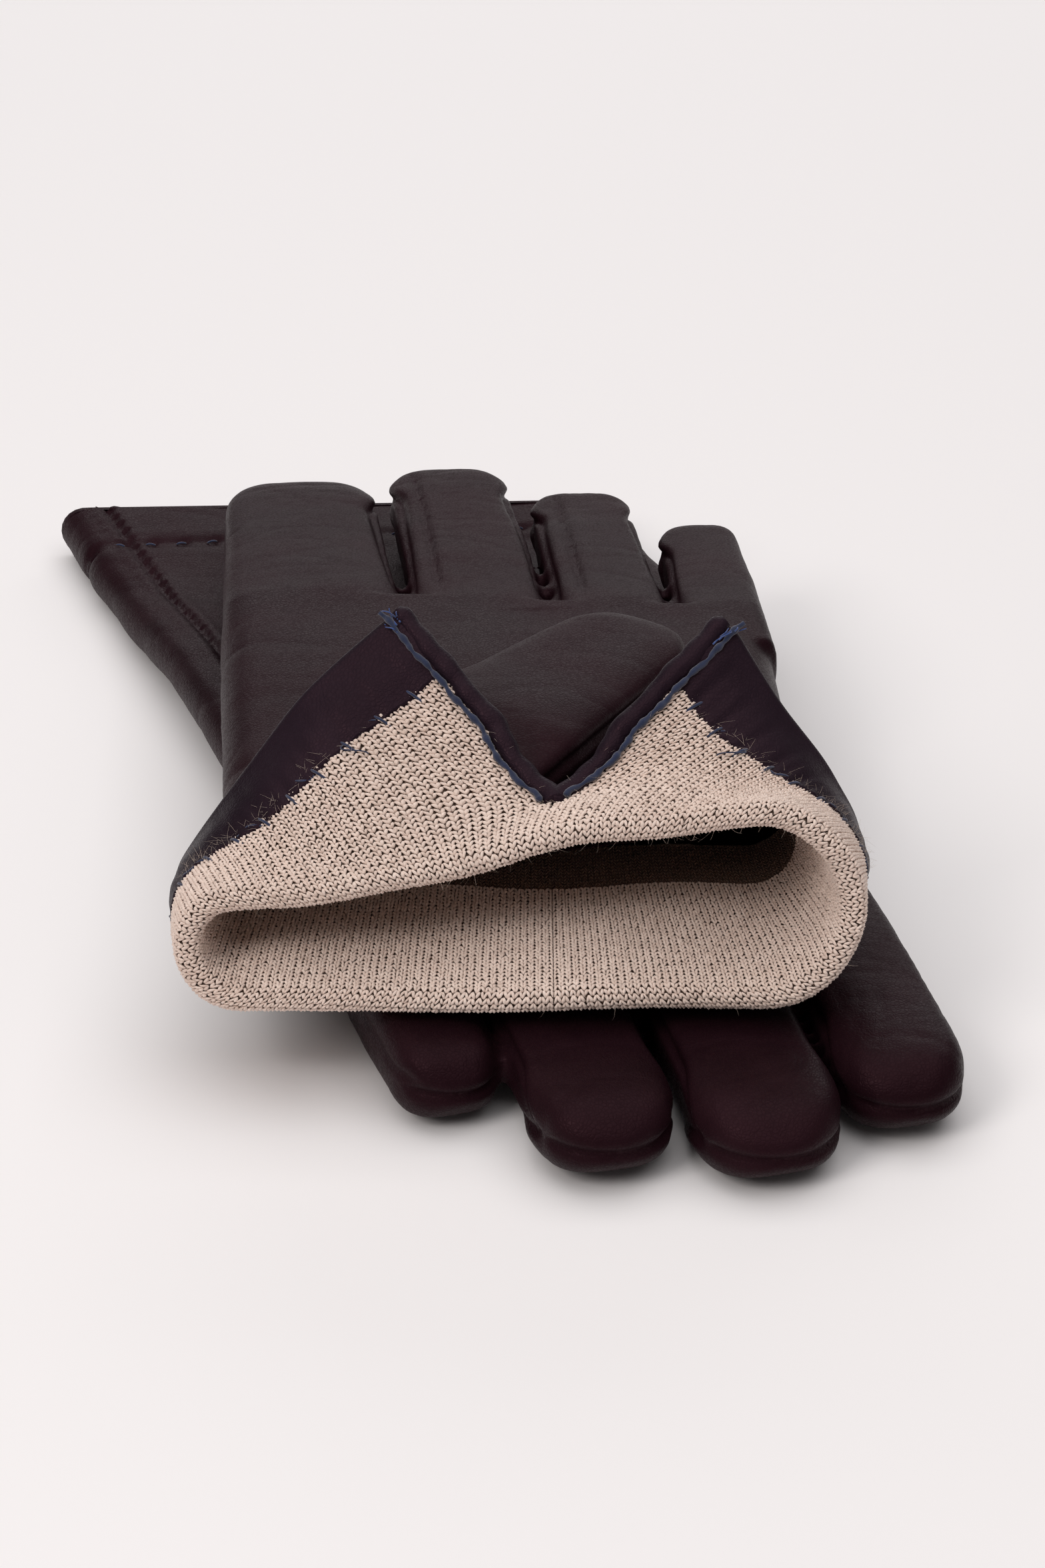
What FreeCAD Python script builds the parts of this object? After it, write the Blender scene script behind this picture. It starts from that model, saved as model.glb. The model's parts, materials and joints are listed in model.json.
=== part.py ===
"""A pair of lined leather dress gloves, laid one across the other.

The right glove lies palm down with its fingers towards -Y. The left glove lies on it palm up,
fingers towards +Y, with its cuff turned back so that the knitted lining shows and the wrist
vent opens into a V. Both gloves are cut the traditional way: palm and back panels, fourchette
strips between the fingers, a set-in thumb and a knitted lining inside.
All sizes are in millimetres: X runs across the pair, Y away from the turned-back cuff, Z up.
"""

import FreeCAD, Part

import math
import os

V = FreeCAD.Vector
BIG = 200.0              # larger than the whole pair, for cutting blocks

# --- layers ---
LEATHER = 0.9            # thickness of the leather
LINING = 1.5             # thickness of the knitted lining
FACING = 0.7             # thickness of the leather turned in at the hem
EASE = 0.1               # space between two layers
SEAM_GAP = 0.15          # half of the parting between two leather panels
BODY_GAP = 0.5           # space between pieces that move apart
FLAP_START = 4.5         # the flaps of the cuff begin this far behind its fold
KNIT_FROM = LEATHER + EASE
KNIT_TO = KNIT_FROM + LINING
FACING_FROM = KNIT_TO + EASE
FACING_TO = FACING_FROM + FACING

# --- fingers ---
FINGER_ROOT_THICK = 16.0
LEFT_TIP_THICK = 10.5    # the upper glove's empty fingertips lie flatter
RIGHT_TIP_THICK = 14.0
FOURCHETTE_HALF = 4.4    # half the height of a fourchette strip
ORDER = ("index", "middle", "ring", "little")
FINGER_ROOM = 0.7        # space between two neighbouring fingers
# length from the crotch, width at the root, width near the tip
LEFT_FINGERS = {
    "index": (72.0, 34.2, 27.0),
    "middle": (81.0, 26.0, 23.0),
    "ring": (71.0, 21.6, 20.5),
    "little": (52.0, 17.0, 16.2),
}
RIGHT_FINGERS = {
    "index": (72.0, 22.5, 19.0),
    "middle": (80.0, 25.6, 23.6),
    "ring": (73.0, 25.6, 23.6),
    "little": (51.0, 20.5, 17.5),
}
FINGER_START = -4.0      # the stalls begin this far behind the knuckle line and are cut off at it
LEFT_FINGER_DIP = 6.0    # the fingers dip this many degrees towards their tips
RIGHT_FINGER_DIP = 0.4
LEFT_FINGER_TURN = 9.4   # the fingers turn this many degrees from square to the knuckle line
RIGHT_FINGER_TURN = 0.0

# --- left glove: on top, palm up ---
LEFT_RIM_Y = -105.5      # fold of the turned-back cuff, at the height of its lower edge
LEFT_RIM_RAKE = 0.3      # the fold leans back this much for each unit of height
LEFT_KNUCKLE_Y = 8.8
LEFT_CENTRE = -5.2       # middle of the hand across the pair
LEFT_KNUCKLE_LEAN = -4.4  # the knuckle line turns this many degrees, its index side towards the tips
RAKE_BASE = 20.0         # height at which a raked section keeps its own place
CUFF_TURNBACK = 28.0     # length of the turned-back band round the wrist
CUFF_ROLL = 2.5          # the lining's fold stands this far in front of the leather
CUFF_TOP = -1.5          # the band ends this far above the middle of the wrist

# --- right glove: below, palm down ---
FLOOR = 0.5              # height of its underside before the pair is put on its origin
RIGHT_HEM = V(-38.2, 95.5, 0)
RIGHT_KNUCKLE_Y = -60.0
RIGHT_WRIST_LEAN = 22.0  # heading of its middle line at the wrist and at the knuckles,
RIGHT_KNUCKLE_LEAN = 13.5  # in degrees from -Y
RIGHT_HEM_LEAN = 2.0     # the hem itself lies nearly square to Y

# --- thumbs ---
THUMB_WIDTH = 27.0
THUMB_TIP_WIDTH = 21.0
THUMB_LENGTH = 48.0      # the part that moves
GUSSET_LENGTH = 17.0     # the part sewn to the palm
GUSSET_EXTRA = 3.0       # the gusset is this much wider at its seam
THUMB_TAPER = 0.9        # thickness at the tip, as a share of that at the root
LEFT_THUMB_THICK = 10.6
RIGHT_THUMB_THICK = 5.6
LEFT_THUMB_PLACE = (-4.0, -61.0)
LEFT_THUMB_HEADING = 54.5
LEFT_THUMB_DIP = 1.6
RIGHT_THUMB_PLACE = (18.9, 9.0)
RIGHT_THUMB_HEADING = -113.0
THUMB_HOLE = 7.0         # radius of the hole from the hand into the thumb

# --- how the layers of the pair lie on each other ---
RIGHT_FLAT = 11.0        # thickness of the empty right hand where it lies over its thumb
PAIR_ROOM = 1.6          # space between the two hands
CUFF_ROOM = 0.3          # space between the turned-back cuff and the fingers under it
RIGHT_REST = 0.6         # the knuckles of the right glove stand this far off its floor
RIGHT_CREST = 0.4        # its hand rises this far above what its thumb needs
LEFT_CUFF_RISE = 1.2     # the cuff of the left glove starts this far above its knuckles
OVER_THUMB = FLOOR + RIGHT_THUMB_THICK + BODY_GAP
LEFT_LOW = max(
    OVER_THUMB + RIGHT_CREST + RIGHT_FLAT + PAIR_ROOM,
    FLOOR + RIGHT_REST + FINGER_ROOT_THICK + CUFF_ROOM + EASE + FACING_TO - LEFT_CUFF_RISE,
)
LEFT_THUMB_RISE = 20.6   # the left thumb lies this far above the underside of its hand
LEFT_THUMB_LOW = LEFT_LOW + LEFT_THUMB_RISE

# --- hem and vent ---
HEM_FACING = 13.0        # leather turned over the lining at the hem
BINDING = 1.9            # radius of the rolled binding on the vent's edges
VENT_LENGTH = 48.0
VENT_HALF = 2.6          # half the width of the slit that the two bindings fill
STITCH = (2.6, 0.8, 0.6)  # length, width and height of one hem stitch
STITCH_PITCH = 6.5
STITCH_LINE = 14.0       # distance from the hem

# Rows of each flap: a point on the fold and one on the hem, measured from the middle of the
# hand, the fold and the hand's underside.
INDEX_FLAP = (
    ((-52.1, 3.5, 11.4), (-53.3, 28.0, 9.4)),
    ((-46.3, 5.5, 17.9), (-48.8, 30.5, 18.4)),
    ((-24.8, 7.0, 19.9), (-32.8, 35.5, 37.4)),
    ((7.2, 8.0, 23.9), (-16.8, 42.5, 48.4)),
)
LITTLE_FLAP = (
    ((14.7, 8.5, 24.9), (40.2, 40.5, 48.4)),
    ((33.2, 9.0, 27.4), (48.2, 35.5, 37.4)),
    ((52.2, 8.5, 27.9), (57.2, 33.0, 26.4)),
    ((61.0, 6.0, 19.4), (61.7, 31.5, 16.9)),
)

HAND_STATIONS = 9


def turned(angle):
    """Unit vector at an angle in degrees from +X, in the XY plane."""
    return V(math.cos(math.radians(angle)), math.sin(math.radians(angle)), 0)


def placement(root, heading, dip):
    """Frame whose +Y points along a heading in degrees from +X, dipping by an angle."""
    turn = FreeCAD.Rotation(V(0, 0, 1), heading - 90)
    tilt = FreeCAD.Rotation(V(1, 0, 0), -dip)
    return FreeCAD.Placement(root, turn.multiply(tilt))


def placed(shape, where):
    """Copy of a shape moved by a placement."""
    return shape.transformed(where.toMatrix(), True)


def block(low, high):
    """Box between two corners."""
    return Part.makeBox(high[0] - low[0], high[1] - low[1], high[2] - low[2], V(*low))


class Station:
    """One upright cross-section of a hand: two circles and the hull round them."""

    def __init__(self, origin, heading, index_side, little_side, rake=0.0):
        self.origin = origin
        self.heading = heading
        self.index_side = index_side      # place across, height, radius
        self.little_side = little_side
        self.rake = rake

    def mixed(self, other, share):
        """The station a share of the way to another one."""
        def mix(a, b):
            return a + (b - a) * share
        return Station(
            mix(self.origin, other.origin),
            mix(self.heading, other.heading),
            [mix(a, b) for a, b in zip(self.index_side, other.index_side)],
            [mix(a, b) for a, b in zip(self.little_side, other.little_side)],
            mix(self.rake, other.rake),
        )

    def moved(self, along):
        """The same section further along its own heading."""
        origin = self.origin + turned(self.heading) * along
        return Station(origin, self.heading, self.index_side, self.little_side, self.rake)

    def point(self, across, height):
        """World point of a place in this section."""
        back = turned(self.heading) * (self.rake * (height - RAKE_BASE))
        return self.origin + turned(self.heading - 90) * across + back + V(0, 0, height)

    def outline(self, grow):
        """Closed wire of the hull, grown outwards by a distance."""
        (x1, z1, r1), (x2, z2, r2) = self.index_side, self.little_side
        r1, r2 = r1 + grow, r2 + grow
        tilt = math.atan2(z2 - z1, x2 - x1)
        lean = math.acos((r1 - r2) / math.hypot(x2 - x1, z2 - z1))

        def arc(x, z, radius, start, sweep):
            steps = 6
            turns = [start + sweep * k / steps for k in range(steps + 1)]
            return [self.point(x + radius * math.cos(a), z + radius * math.sin(a)) for a in turns]

        far = arc(x2, z2, r2, tilt + lean, -2 * lean)
        near = arc(x1, z1, r1, tilt - lean, -2 * (math.pi - lean))
        return Part.makePolygon([*far, *near, far[0]])

    def middle(self, across):
        """Height of the line between the two circles' centres."""
        (x1, z1, _), (x2, z2, _) = self.index_side, self.little_side
        return z1 + (z2 - z1) * (across - x1) / (x2 - x1)


def sampled(keys, count=HAND_STATIONS):
    """Stations spread evenly along the key stations."""
    made = []
    for k in range(count):
        place = k / (count - 1) * (len(keys) - 1)
        first = min(len(keys) - 2, int(place))
        made.append(keys[first].mixed(keys[first + 1], place - first))
    return made


def hull_loft(stations, grow):
    """Solid through the grown outlines of the stations."""
    return Part.makeLoft([s.outline(grow) for s in stations], True, True)


def shell(stations, outer, inner):
    """Tube through the stations between two offsets, open at both ends."""
    longer = [stations[0].moved(-1.0), *stations, stations[-1].moved(1.0)]
    return hull_loft(stations, outer).cut(hull_loft(longer, inner))


def slab(stations, lift, upwards):
    """Everything above or below the stations' middle line, lifted by a distance."""
    reach = V(0, 0, BIG if upwards else -BIG)
    wires = []
    for s in [stations[0].moved(-5.0), *stations, stations[-1].moved(5.0)]:
        low = [s.point(x, s.middle(x) + lift) for x in (-BIG, BIG)]
        wires.append(Part.makePolygon([low[0], low[1], low[1] + reach, low[0] + reach, low[0]]))
    return Part.makeLoft(wires, True, True)


def knuckle_row(sizes, turn):
    """Place of each finger across the knuckles, and half the width of the row."""
    slant = math.cos(math.radians(turn))
    widths = [sizes[name][1] / slant for name in ORDER]
    half = (sum(widths) + FINGER_ROOM * (len(ORDER) - 1)) / 2
    places, edge = {}, -half
    for name, width in zip(ORDER, widths):
        places[name] = edge + width / 2
        edge += width + FINGER_ROOM
    return places, half


def left_keys():
    """Key sections of the left hand, from the fold of its cuff to the knuckles."""
    def at(share, index_edge, index_low, index_r, little_edge, little_low, little_r):
        y = LEFT_RIM_Y + (LEFT_KNUCKLE_Y - LEFT_RIM_Y) * share
        rake = LEFT_RIM_RAKE * max(0.0, 1.0 - 2.0 * share)
        index_side = (index_edge + index_r, LEFT_LOW + index_low + index_r, index_r)
        little_side = (little_edge - little_r, LEFT_LOW + little_low + little_r, little_r)
        origin = V(LEFT_CENTRE, y, 0)
        return Station(origin, 90 + LEFT_KNUCKLE_LEAN * share ** 2, index_side, little_side, rake)

    half = knuckle_row(LEFT_FINGERS, LEFT_FINGER_TURN)[1]
    root = FINGER_ROOT_THICK / 2
    return [
        at(0.0, -49.2, LEFT_CUFF_RISE, 7.4, 58.8, 2.1, 12.6),
        at(0.33, -47.0, 1.1, 8.0, 54.1, 1.3, 10.4),
        at(0.67, -49.2, 0.8, 8.2, 52.0, 0.5, 9.2),
        at(1.0, -half, 0.0, root, half, 0.0, root),
    ]


def right_keys():
    """Key sections of the right hand, from its hem to the knuckles."""
    span = RIGHT_HEM.y - RIGHT_KNUCKLE_Y
    start = math.tan(math.radians(RIGHT_WRIST_LEAN))
    stop = math.tan(math.radians(RIGHT_KNUCKLE_LEAN))

    def at(share, lean, half, low, radius):
        slope = start + (stop - start) * share
        down = span * share
        origin = RIGHT_HEM + V(down * (start + slope) / 2, -down, 0)
        across = half - radius
        return Station(origin, lean - 90, (-across, low + radius, radius), (across, low + radius, radius))

    flat = RIGHT_FLAT / 2
    row = knuckle_row(RIGHT_FINGERS, RIGHT_FINGER_TURN)[1]
    return [
        at(0.0, RIGHT_HEM_LEAN, 57.0, FLOOR + 0.1, 5.6),
        at(0.2, 11.0, 54.6, FLOOR + RIGHT_REST, flat),
        at(0.4, 16.0, 53.0, OVER_THUMB - 0.8, flat - 0.3),
        at(0.6, 17.0, 52.5, OVER_THUMB + 0.2, flat - 0.2),
        at(0.8, 15.5, 52.0, OVER_THUMB + RIGHT_CREST, flat),
        at(1.0, RIGHT_KNUCKLE_LEAN, row, FLOOR + RIGHT_REST, FINGER_ROOT_THICK / 2),
    ]


def stadium(half_wide, half_high, at):
    """Upright slot-shaped wire in the local XZ plane."""
    flat = half_wide - half_high
    steps = 6
    turns = [math.pi * (0.5 - k / steps) for k in range(steps + 1)]
    right = [V(flat + half_high * math.cos(a), at, half_high * math.sin(a)) for a in turns]
    left = [V(-p.x, at, -p.z) for p in right]
    return Part.makePolygon([*right, *left, right[0]])


class Stall:
    """Flattened tube along local +Y with a rounded tip, as a finger or a thumb."""

    def __init__(self, length, root, tip, root_thick, tip_thick):
        self.length, self.root, self.tip = length, root, tip
        self.root_thick, self.tip_thick = root_thick, tip_thick

    def solid(self, inset, start):
        """Filled stall, inset by a wall all round, from a local Y."""
        nose = self.tip / 2
        wires = []
        for at, wide, high in (
            (start, 1.0, 1.0),
            (self.length - nose, 1.0, 1.0),
            (self.length - nose * 0.5, 0.87, 0.86),
            (self.length - nose * 0.16, 0.62, 0.62),
            (self.length, 0.36, 0.34),
        ):
            share = at / self.length
            half_wide = (self.root + (self.tip - self.root) * share) / 2
            half_high = (self.root_thick + (self.tip_thick - self.root_thick) * share) / 2
            pull = inset if at > start else 0.0
            inner_high = max(half_high * high - inset, 0.3)
            inner_wide = max(half_wide * wide - inset, inner_high + 0.05)
            wires.append(stadium(inner_wide, inner_high, at - pull))
        return Part.makeLoft(wires, True, True)

    def wall(self, outer, inner, start):
        """Closed-ended tube between two insets, open at its root."""
        return self.solid(outer, start).cut(self.solid(inner, start - 1.0))


def finger_nodes(prefix, name, size, tip_thick, palm_sign):
    """Leather strips, fourchettes and lining of one finger, in its own frame."""
    length, root, tip = size
    stall = Stall(length, root, tip, FINGER_ROOT_THICK, tip_thick)
    leather = stall.wall(0.0, LEATHER, FINGER_START)
    nose_from = length - tip * 0.34
    forks = [side for side, has in ((-1, name != "index"), (1, name != "little")) if has]
    nodes = {}
    for label, sign in (("palm", palm_sign), ("back", -palm_sign)):
        region = block((-BIG, -5, FOURCHETTE_HALF + SEAM_GAP), (BIG, BIG, BIG))
        region = region.fuse(block((-BIG, nose_from, SEAM_GAP), (BIG, BIG, BIG)))
        for side in {-1, 1} - set(forks):
            low, high = sorted((0.0, side * BIG))
            region = region.fuse(block((low, -5, SEAM_GAP), (high, BIG, BIG)))
        if sign < 0:
            region = region.mirror(V(0, 0, 0), V(0, 0, 1))
        nodes[f"{prefix}_{name}_{label}"] = leather.common(region)
    strips = []
    for side in forks:
        low, high = sorted((0.0, side * BIG))
        half = FOURCHETTE_HALF - SEAM_GAP
        strips.append(leather.common(block((low, -5, -half), (high, nose_from - 2 * SEAM_GAP, half))))
    nodes[f"{prefix}_{name}_fourchettes"] = Part.makeCompound(strips)
    nodes[f"{prefix}_{name}_lining"] = stall.wall(KNIT_FROM, KNIT_TO, FINGER_START)
    return nodes


def fingers(prefix, sizes, tip_thick, knuckle, lay, palm_sign):
    """All four fingers of a glove along its knuckle line, and where each one bends."""
    nodes, hinges = {}, {}
    turn, dip = lay
    hand_side = block((-BIG, -BIG, -BIG), (BIG, BODY_GAP, BIG))
    hand_side = placed(hand_side, placement(knuckle.origin, knuckle.heading, 0))
    for name, across in knuckle_row(sizes, turn)[0].items():
        root = knuckle.point(across, knuckle.middle(across))
        frame = placement(root, knuckle.heading + turn, dip)
        for node, shape in finger_nodes(prefix, name, sizes[name], tip_thick, palm_sign).items():
            nodes[node] = placed(shape, frame).cut(hand_side)
        crease = turned(knuckle.heading) * (BODY_GAP / 2) + V(0, 0, palm_sign * FINGER_ROOT_THICK / 2)
        hinges[f"{prefix}_{name}"] = (root + crease, turned(knuckle.heading + turn - 90) * palm_sign)
    return nodes, hinges


def hand(prefix, stations, palm_sign):
    """Palm panel, back panel and lining of a hand."""
    leather = shell(stations, 0.0, -LEATHER)
    above = leather.common(slab(stations, SEAM_GAP, True))
    below = leather.common(slab(stations, -SEAM_GAP, False))
    palm, back = (above, below) if palm_sign > 0 else (below, above)
    return {
        f"{prefix}_palm_panel": palm,
        f"{prefix}_back_panel": back,
        f"{prefix}_hand_lining": shell(stations, -KNIT_FROM, -KNIT_TO),
    }


def thumb(prefix, thick, frame, palm_sign, knit):
    """Thumb, its lining and the gusset that sews it to the palm, and where it swings."""
    stall = Stall(THUMB_LENGTH, THUMB_WIDTH, THUMB_TIP_WIDTH, thick, thick * THUMB_TAPER)
    stub = Stall(THUMB_LENGTH + GUSSET_LENGTH, THUMB_WIDTH + GUSSET_EXTRA, THUMB_WIDTH, thick, thick)
    gusset = stub.wall(0.0, LEATHER, -GUSSET_LENGTH)
    gusset = gusset.common(block((-BIG, -GUSSET_LENGTH, -BIG), (BIG, 0.0, BIG)))
    nodes = {
        f"{prefix}_thumb_leather": stall.wall(0.0, LEATHER, BODY_GAP),
        f"{prefix}_thumb_lining": stall.wall(KNIT_FROM, KNIT_FROM + knit, BODY_GAP),
        f"{prefix}_thumb_gusset": gusset,
    }
    hinge = frame.multVec(V(0, BODY_GAP / 2, palm_sign * thick / 2))
    axis = frame.Rotation.multVec(V(palm_sign, 0, 0))
    return {name: placed(shape, frame) for name, shape in nodes.items()}, (hinge, axis)


def thumb_hole(frame, below, above):
    """Upright cutter through the middle of a gusset, reaching below and above its frame."""
    centre = frame.multVec(V(0, -GUSSET_LENGTH / 2, 0))
    return Part.makeCylinder(THUMB_HOLE, below + above, centre - V(0, 0, below))


def flap_rows(table):
    """World points of a flap's rows, each a point on the fold and one on the hem."""
    origin = V(LEFT_CENTRE, LEFT_RIM_Y, LEFT_LOW)
    return [(origin + V(*rim), origin + V(*hem)) for rim, hem in table]


def flap_hinge(rows, first, last):
    """Middle of the fold between two rows, and its direction."""
    start, end = rows[first][0], rows[last][0]
    return (start + end) * 0.5, (end - start).normalize()


def sheet(rows, near, far, low, high):
    """Solid layer of a flap, between two shares of its depth and two heights over its rows."""
    wires = []
    for k, (rim, hem) in enumerate(rows):
        before, after = rows[max(k - 1, 0)], rows[min(k + 1, len(rows) - 1)]
        across = (after[0] + after[1]) - (before[0] + before[1])
        normal = across.cross(hem - rim).normalize()
        a, b = rim + (hem - rim) * near, rim + (hem - rim) * far
        wires.append(Part.makePolygon([p + normal * h for p, h in
                                       ((a, low), (b, low), (b, high), (a, high), (a, low))]))
    return Part.makeLoft(wires, True, True)


def flap(side, rows, vent_row):
    """One half of the turned-back cuff beside the vent, leather side down."""
    depth = (rows[vent_row][1] - rows[vent_row][0]).Length
    hem_share = 1.0 - HEM_FACING / depth
    rim, hem = rows[vent_row]
    other = rows[1 if vent_row == 0 else vent_row - 1]
    inwards = (rim + hem - other[0] - other[1]).normalize()
    lift = (other[0] - rim).cross(hem - rim).normalize()
    if lift.z < 0:
        lift = lift * -1
    base = FLAP_START / depth
    start = rim + inwards * (BINDING + EASE) + lift * (KNIT_TO / 2) + (hem - rim) * base
    binding = Part.makeCylinder(BINDING, depth - FLAP_START, start, hem - rim)
    return {
        f"left_flap_{side}_leather": sheet(rows, base, 1.0, 0.0, LEATHER),
        f"left_flap_{side}_lining": sheet(rows, base, 1.0, KNIT_FROM, KNIT_TO),
        f"left_flap_{side}_facing": sheet(rows, hem_share, 1.0, FACING_FROM, FACING_TO),
        f"left_flap_{side}_binding": binding,
    }


def cuff(stations):
    """Turned-back band round the back and sides of the left wrist, with the rolled rim."""
    rim = stations[0]
    share = CUFF_TURNBACK / (LEFT_KNUCKLE_Y - LEFT_RIM_Y)
    band = [rim.mixed(stations[-1], share * k / 3) for k in range(4)]
    top = slab(band, CUFF_TOP, True)
    hem = band[2:]
    front = [rim.moved(-CUFF_ROLL), rim.moved(-EASE)]
    return {
        "left_cuff_leather": shell(band, EASE + LEATHER, EASE).cut(top),
        "left_cuff_lining": shell(band, EASE + KNIT_TO, EASE + KNIT_FROM).cut(top),
        "left_cuff_facing": shell(hem, EASE + FACING_TO, EASE + FACING_FROM).cut(top),
        "left_cuff_roll": shell(front, EASE + KNIT_TO, -KNIT_TO),
    }


def right_trim(stations):
    """Hem facing, vent bindings and hem stitches of the right glove, and the vent's cutter."""
    rim = stations[0]
    share = HEM_FACING / (RIGHT_HEM.y - RIGHT_KNUCKLE_Y) * (len(stations) - 1)
    hem = [rim, rim.mixed(stations[1], share)]
    floor = rim.middle(0) - rim.index_side[2]
    frame = placement(rim.origin, RIGHT_WRIST_LEAN - 90, 0)
    slit = placed(block((-VENT_HALF, -5, -5), (VENT_HALF, VENT_LENGTH, rim.middle(0))), frame)
    rolls = []
    for side in (-1, 1):
        low, high = sorted((side * (VENT_HALF - EASE), side * (VENT_HALF - EASE - BINDING)))
        roll = block((low, 0, floor + EASE), (high, VENT_LENGTH - EASE, floor + KNIT_TO))
        rolls.append(placed(roll, frame))
    line = rim.mixed(stations[1], STITCH_LINE / HEM_FACING * share)
    flat = line.little_side[0]
    count = int(2 * flat / STITCH_PITCH) + 1
    long, wide, high = STITCH
    stitches = []
    for k in range(count):
        across = (k - (count - 1) / 2) * STITCH_PITCH
        where = placement(line.point(across, line.middle(0) + line.index_side[2] + EASE), line.heading, 0)
        stitches.append(placed(block((-long / 2, -wide / 2, 0), (long / 2, wide / 2, high)), where))
    return {
        "right_hem_facing": shell(hem, -FACING_FROM, -FACING_TO).cut(slit),
        "right_vent_binding": Part.makeCompound(rolls),
        "right_hem_stitches": Part.makeCompound(stitches),
    }, slit


def main():
    """Builds every node, puts the pair on its origin and writes the STEP files."""
    nodes, hinges = {}, {}
    left, right = sampled(left_keys()), sampled(right_keys(), HAND_STATIONS + 2)
    nodes.update(hand("left", left, 1))
    nodes.update(hand("right", right, -1))
    left_lay, right_lay = (LEFT_FINGER_TURN, LEFT_FINGER_DIP), (RIGHT_FINGER_TURN, RIGHT_FINGER_DIP)
    for made, bends in (
        fingers("left", LEFT_FINGERS, LEFT_TIP_THICK, left[-1], left_lay, 1),
        fingers("right", RIGHT_FINGERS, RIGHT_TIP_THICK, right[-1], right_lay, -1),
    ):
        nodes.update(made)
        hinges.update(bends)

    left_root = V(*LEFT_THUMB_PLACE, LEFT_THUMB_LOW + LEFT_THUMB_THICK / 2)
    right_root = V(*RIGHT_THUMB_PLACE, FLOOR + RIGHT_THUMB_THICK / 2)
    left_frame = placement(left_root, LEFT_THUMB_HEADING, LEFT_THUMB_DIP)
    right_frame = placement(right_root, RIGHT_THUMB_HEADING, 0)
    made, hinges["left_thumb"] = thumb("left", LEFT_THUMB_THICK, left_frame, 1, LINING)
    nodes.update(made)
    made, hinges["right_thumb"] = thumb("right", RIGHT_THUMB_THICK, right_frame, -1, LINING / 2)
    nodes.update(made)
    for prefix, frame, thick, under in (
        ("left", left_frame, LEFT_THUMB_THICK, True),
        ("right", right_frame, RIGHT_THUMB_THICK, False),
    ):
        reach, sink = thick / 2 + KNIT_TO + EASE * 6, thick / 2 - LEATHER - EASE * 5
        hole = thumb_hole(frame, reach, sink) if under else thumb_hole(frame, sink, reach)
        for node in (f"{prefix}_palm_panel", f"{prefix}_hand_lining", f"{prefix}_thumb_gusset"):
            nodes[node] = nodes[node].cut(hole)

    nodes.update(cuff(left))
    flaps = ("index", INDEX_FLAP, 3, (1, 3)), ("little", LITTLE_FLAP, 0, (0, 2))
    for side, table, vent_row, folded in flaps:
        rows = flap_rows(table)
        nodes.update(flap(side, rows, vent_row))
        hinges[f"left_flap_{side}"] = flap_hinge(rows, *folded)

    trim, slit = right_trim(right)
    nodes.update(trim)
    for node in ("right_palm_panel", "right_hand_lining"):
        nodes[node] = nodes[node].cut(slit)

    box = Part.makeCompound(list(nodes.values())).optimalBoundingBox(False)
    shift = V(-box.Center.x, -box.Center.y, -box.ZMin)
    size = [round(c, 2) for c in (box.XLength, box.YLength, box.ZLength)]
    print("shift", [round(c, 4) for c in shift], "box", size)
    for name, (point, axis) in sorted(hinges.items()):
        print("hinge", name, [round(c, 3) for c in point + shift], [round(c, 5) for c in axis])
    os.makedirs("parts", exist_ok=True)
    for name, shape in sorted(nodes.items()):
        shape = shape.translated(shift)
        shape.exportStep(f"parts/{name}.step")
        print(name, round(shape.Volume, 1), len(shape.Solids), shape.isValid())


main()
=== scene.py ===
"""Looks of a pair of lined leather gloves: skins, knitted lining, hem, vent and their finishes.

Lengths in the classes below are in millimetres in the pattern's own zero; `Pattern.to_frame`
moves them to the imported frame, in metres.
"""

import json
import logging
import math
from dataclasses import dataclass, field, replace
from enum import Enum
from typing import Callable, Sequence

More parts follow.
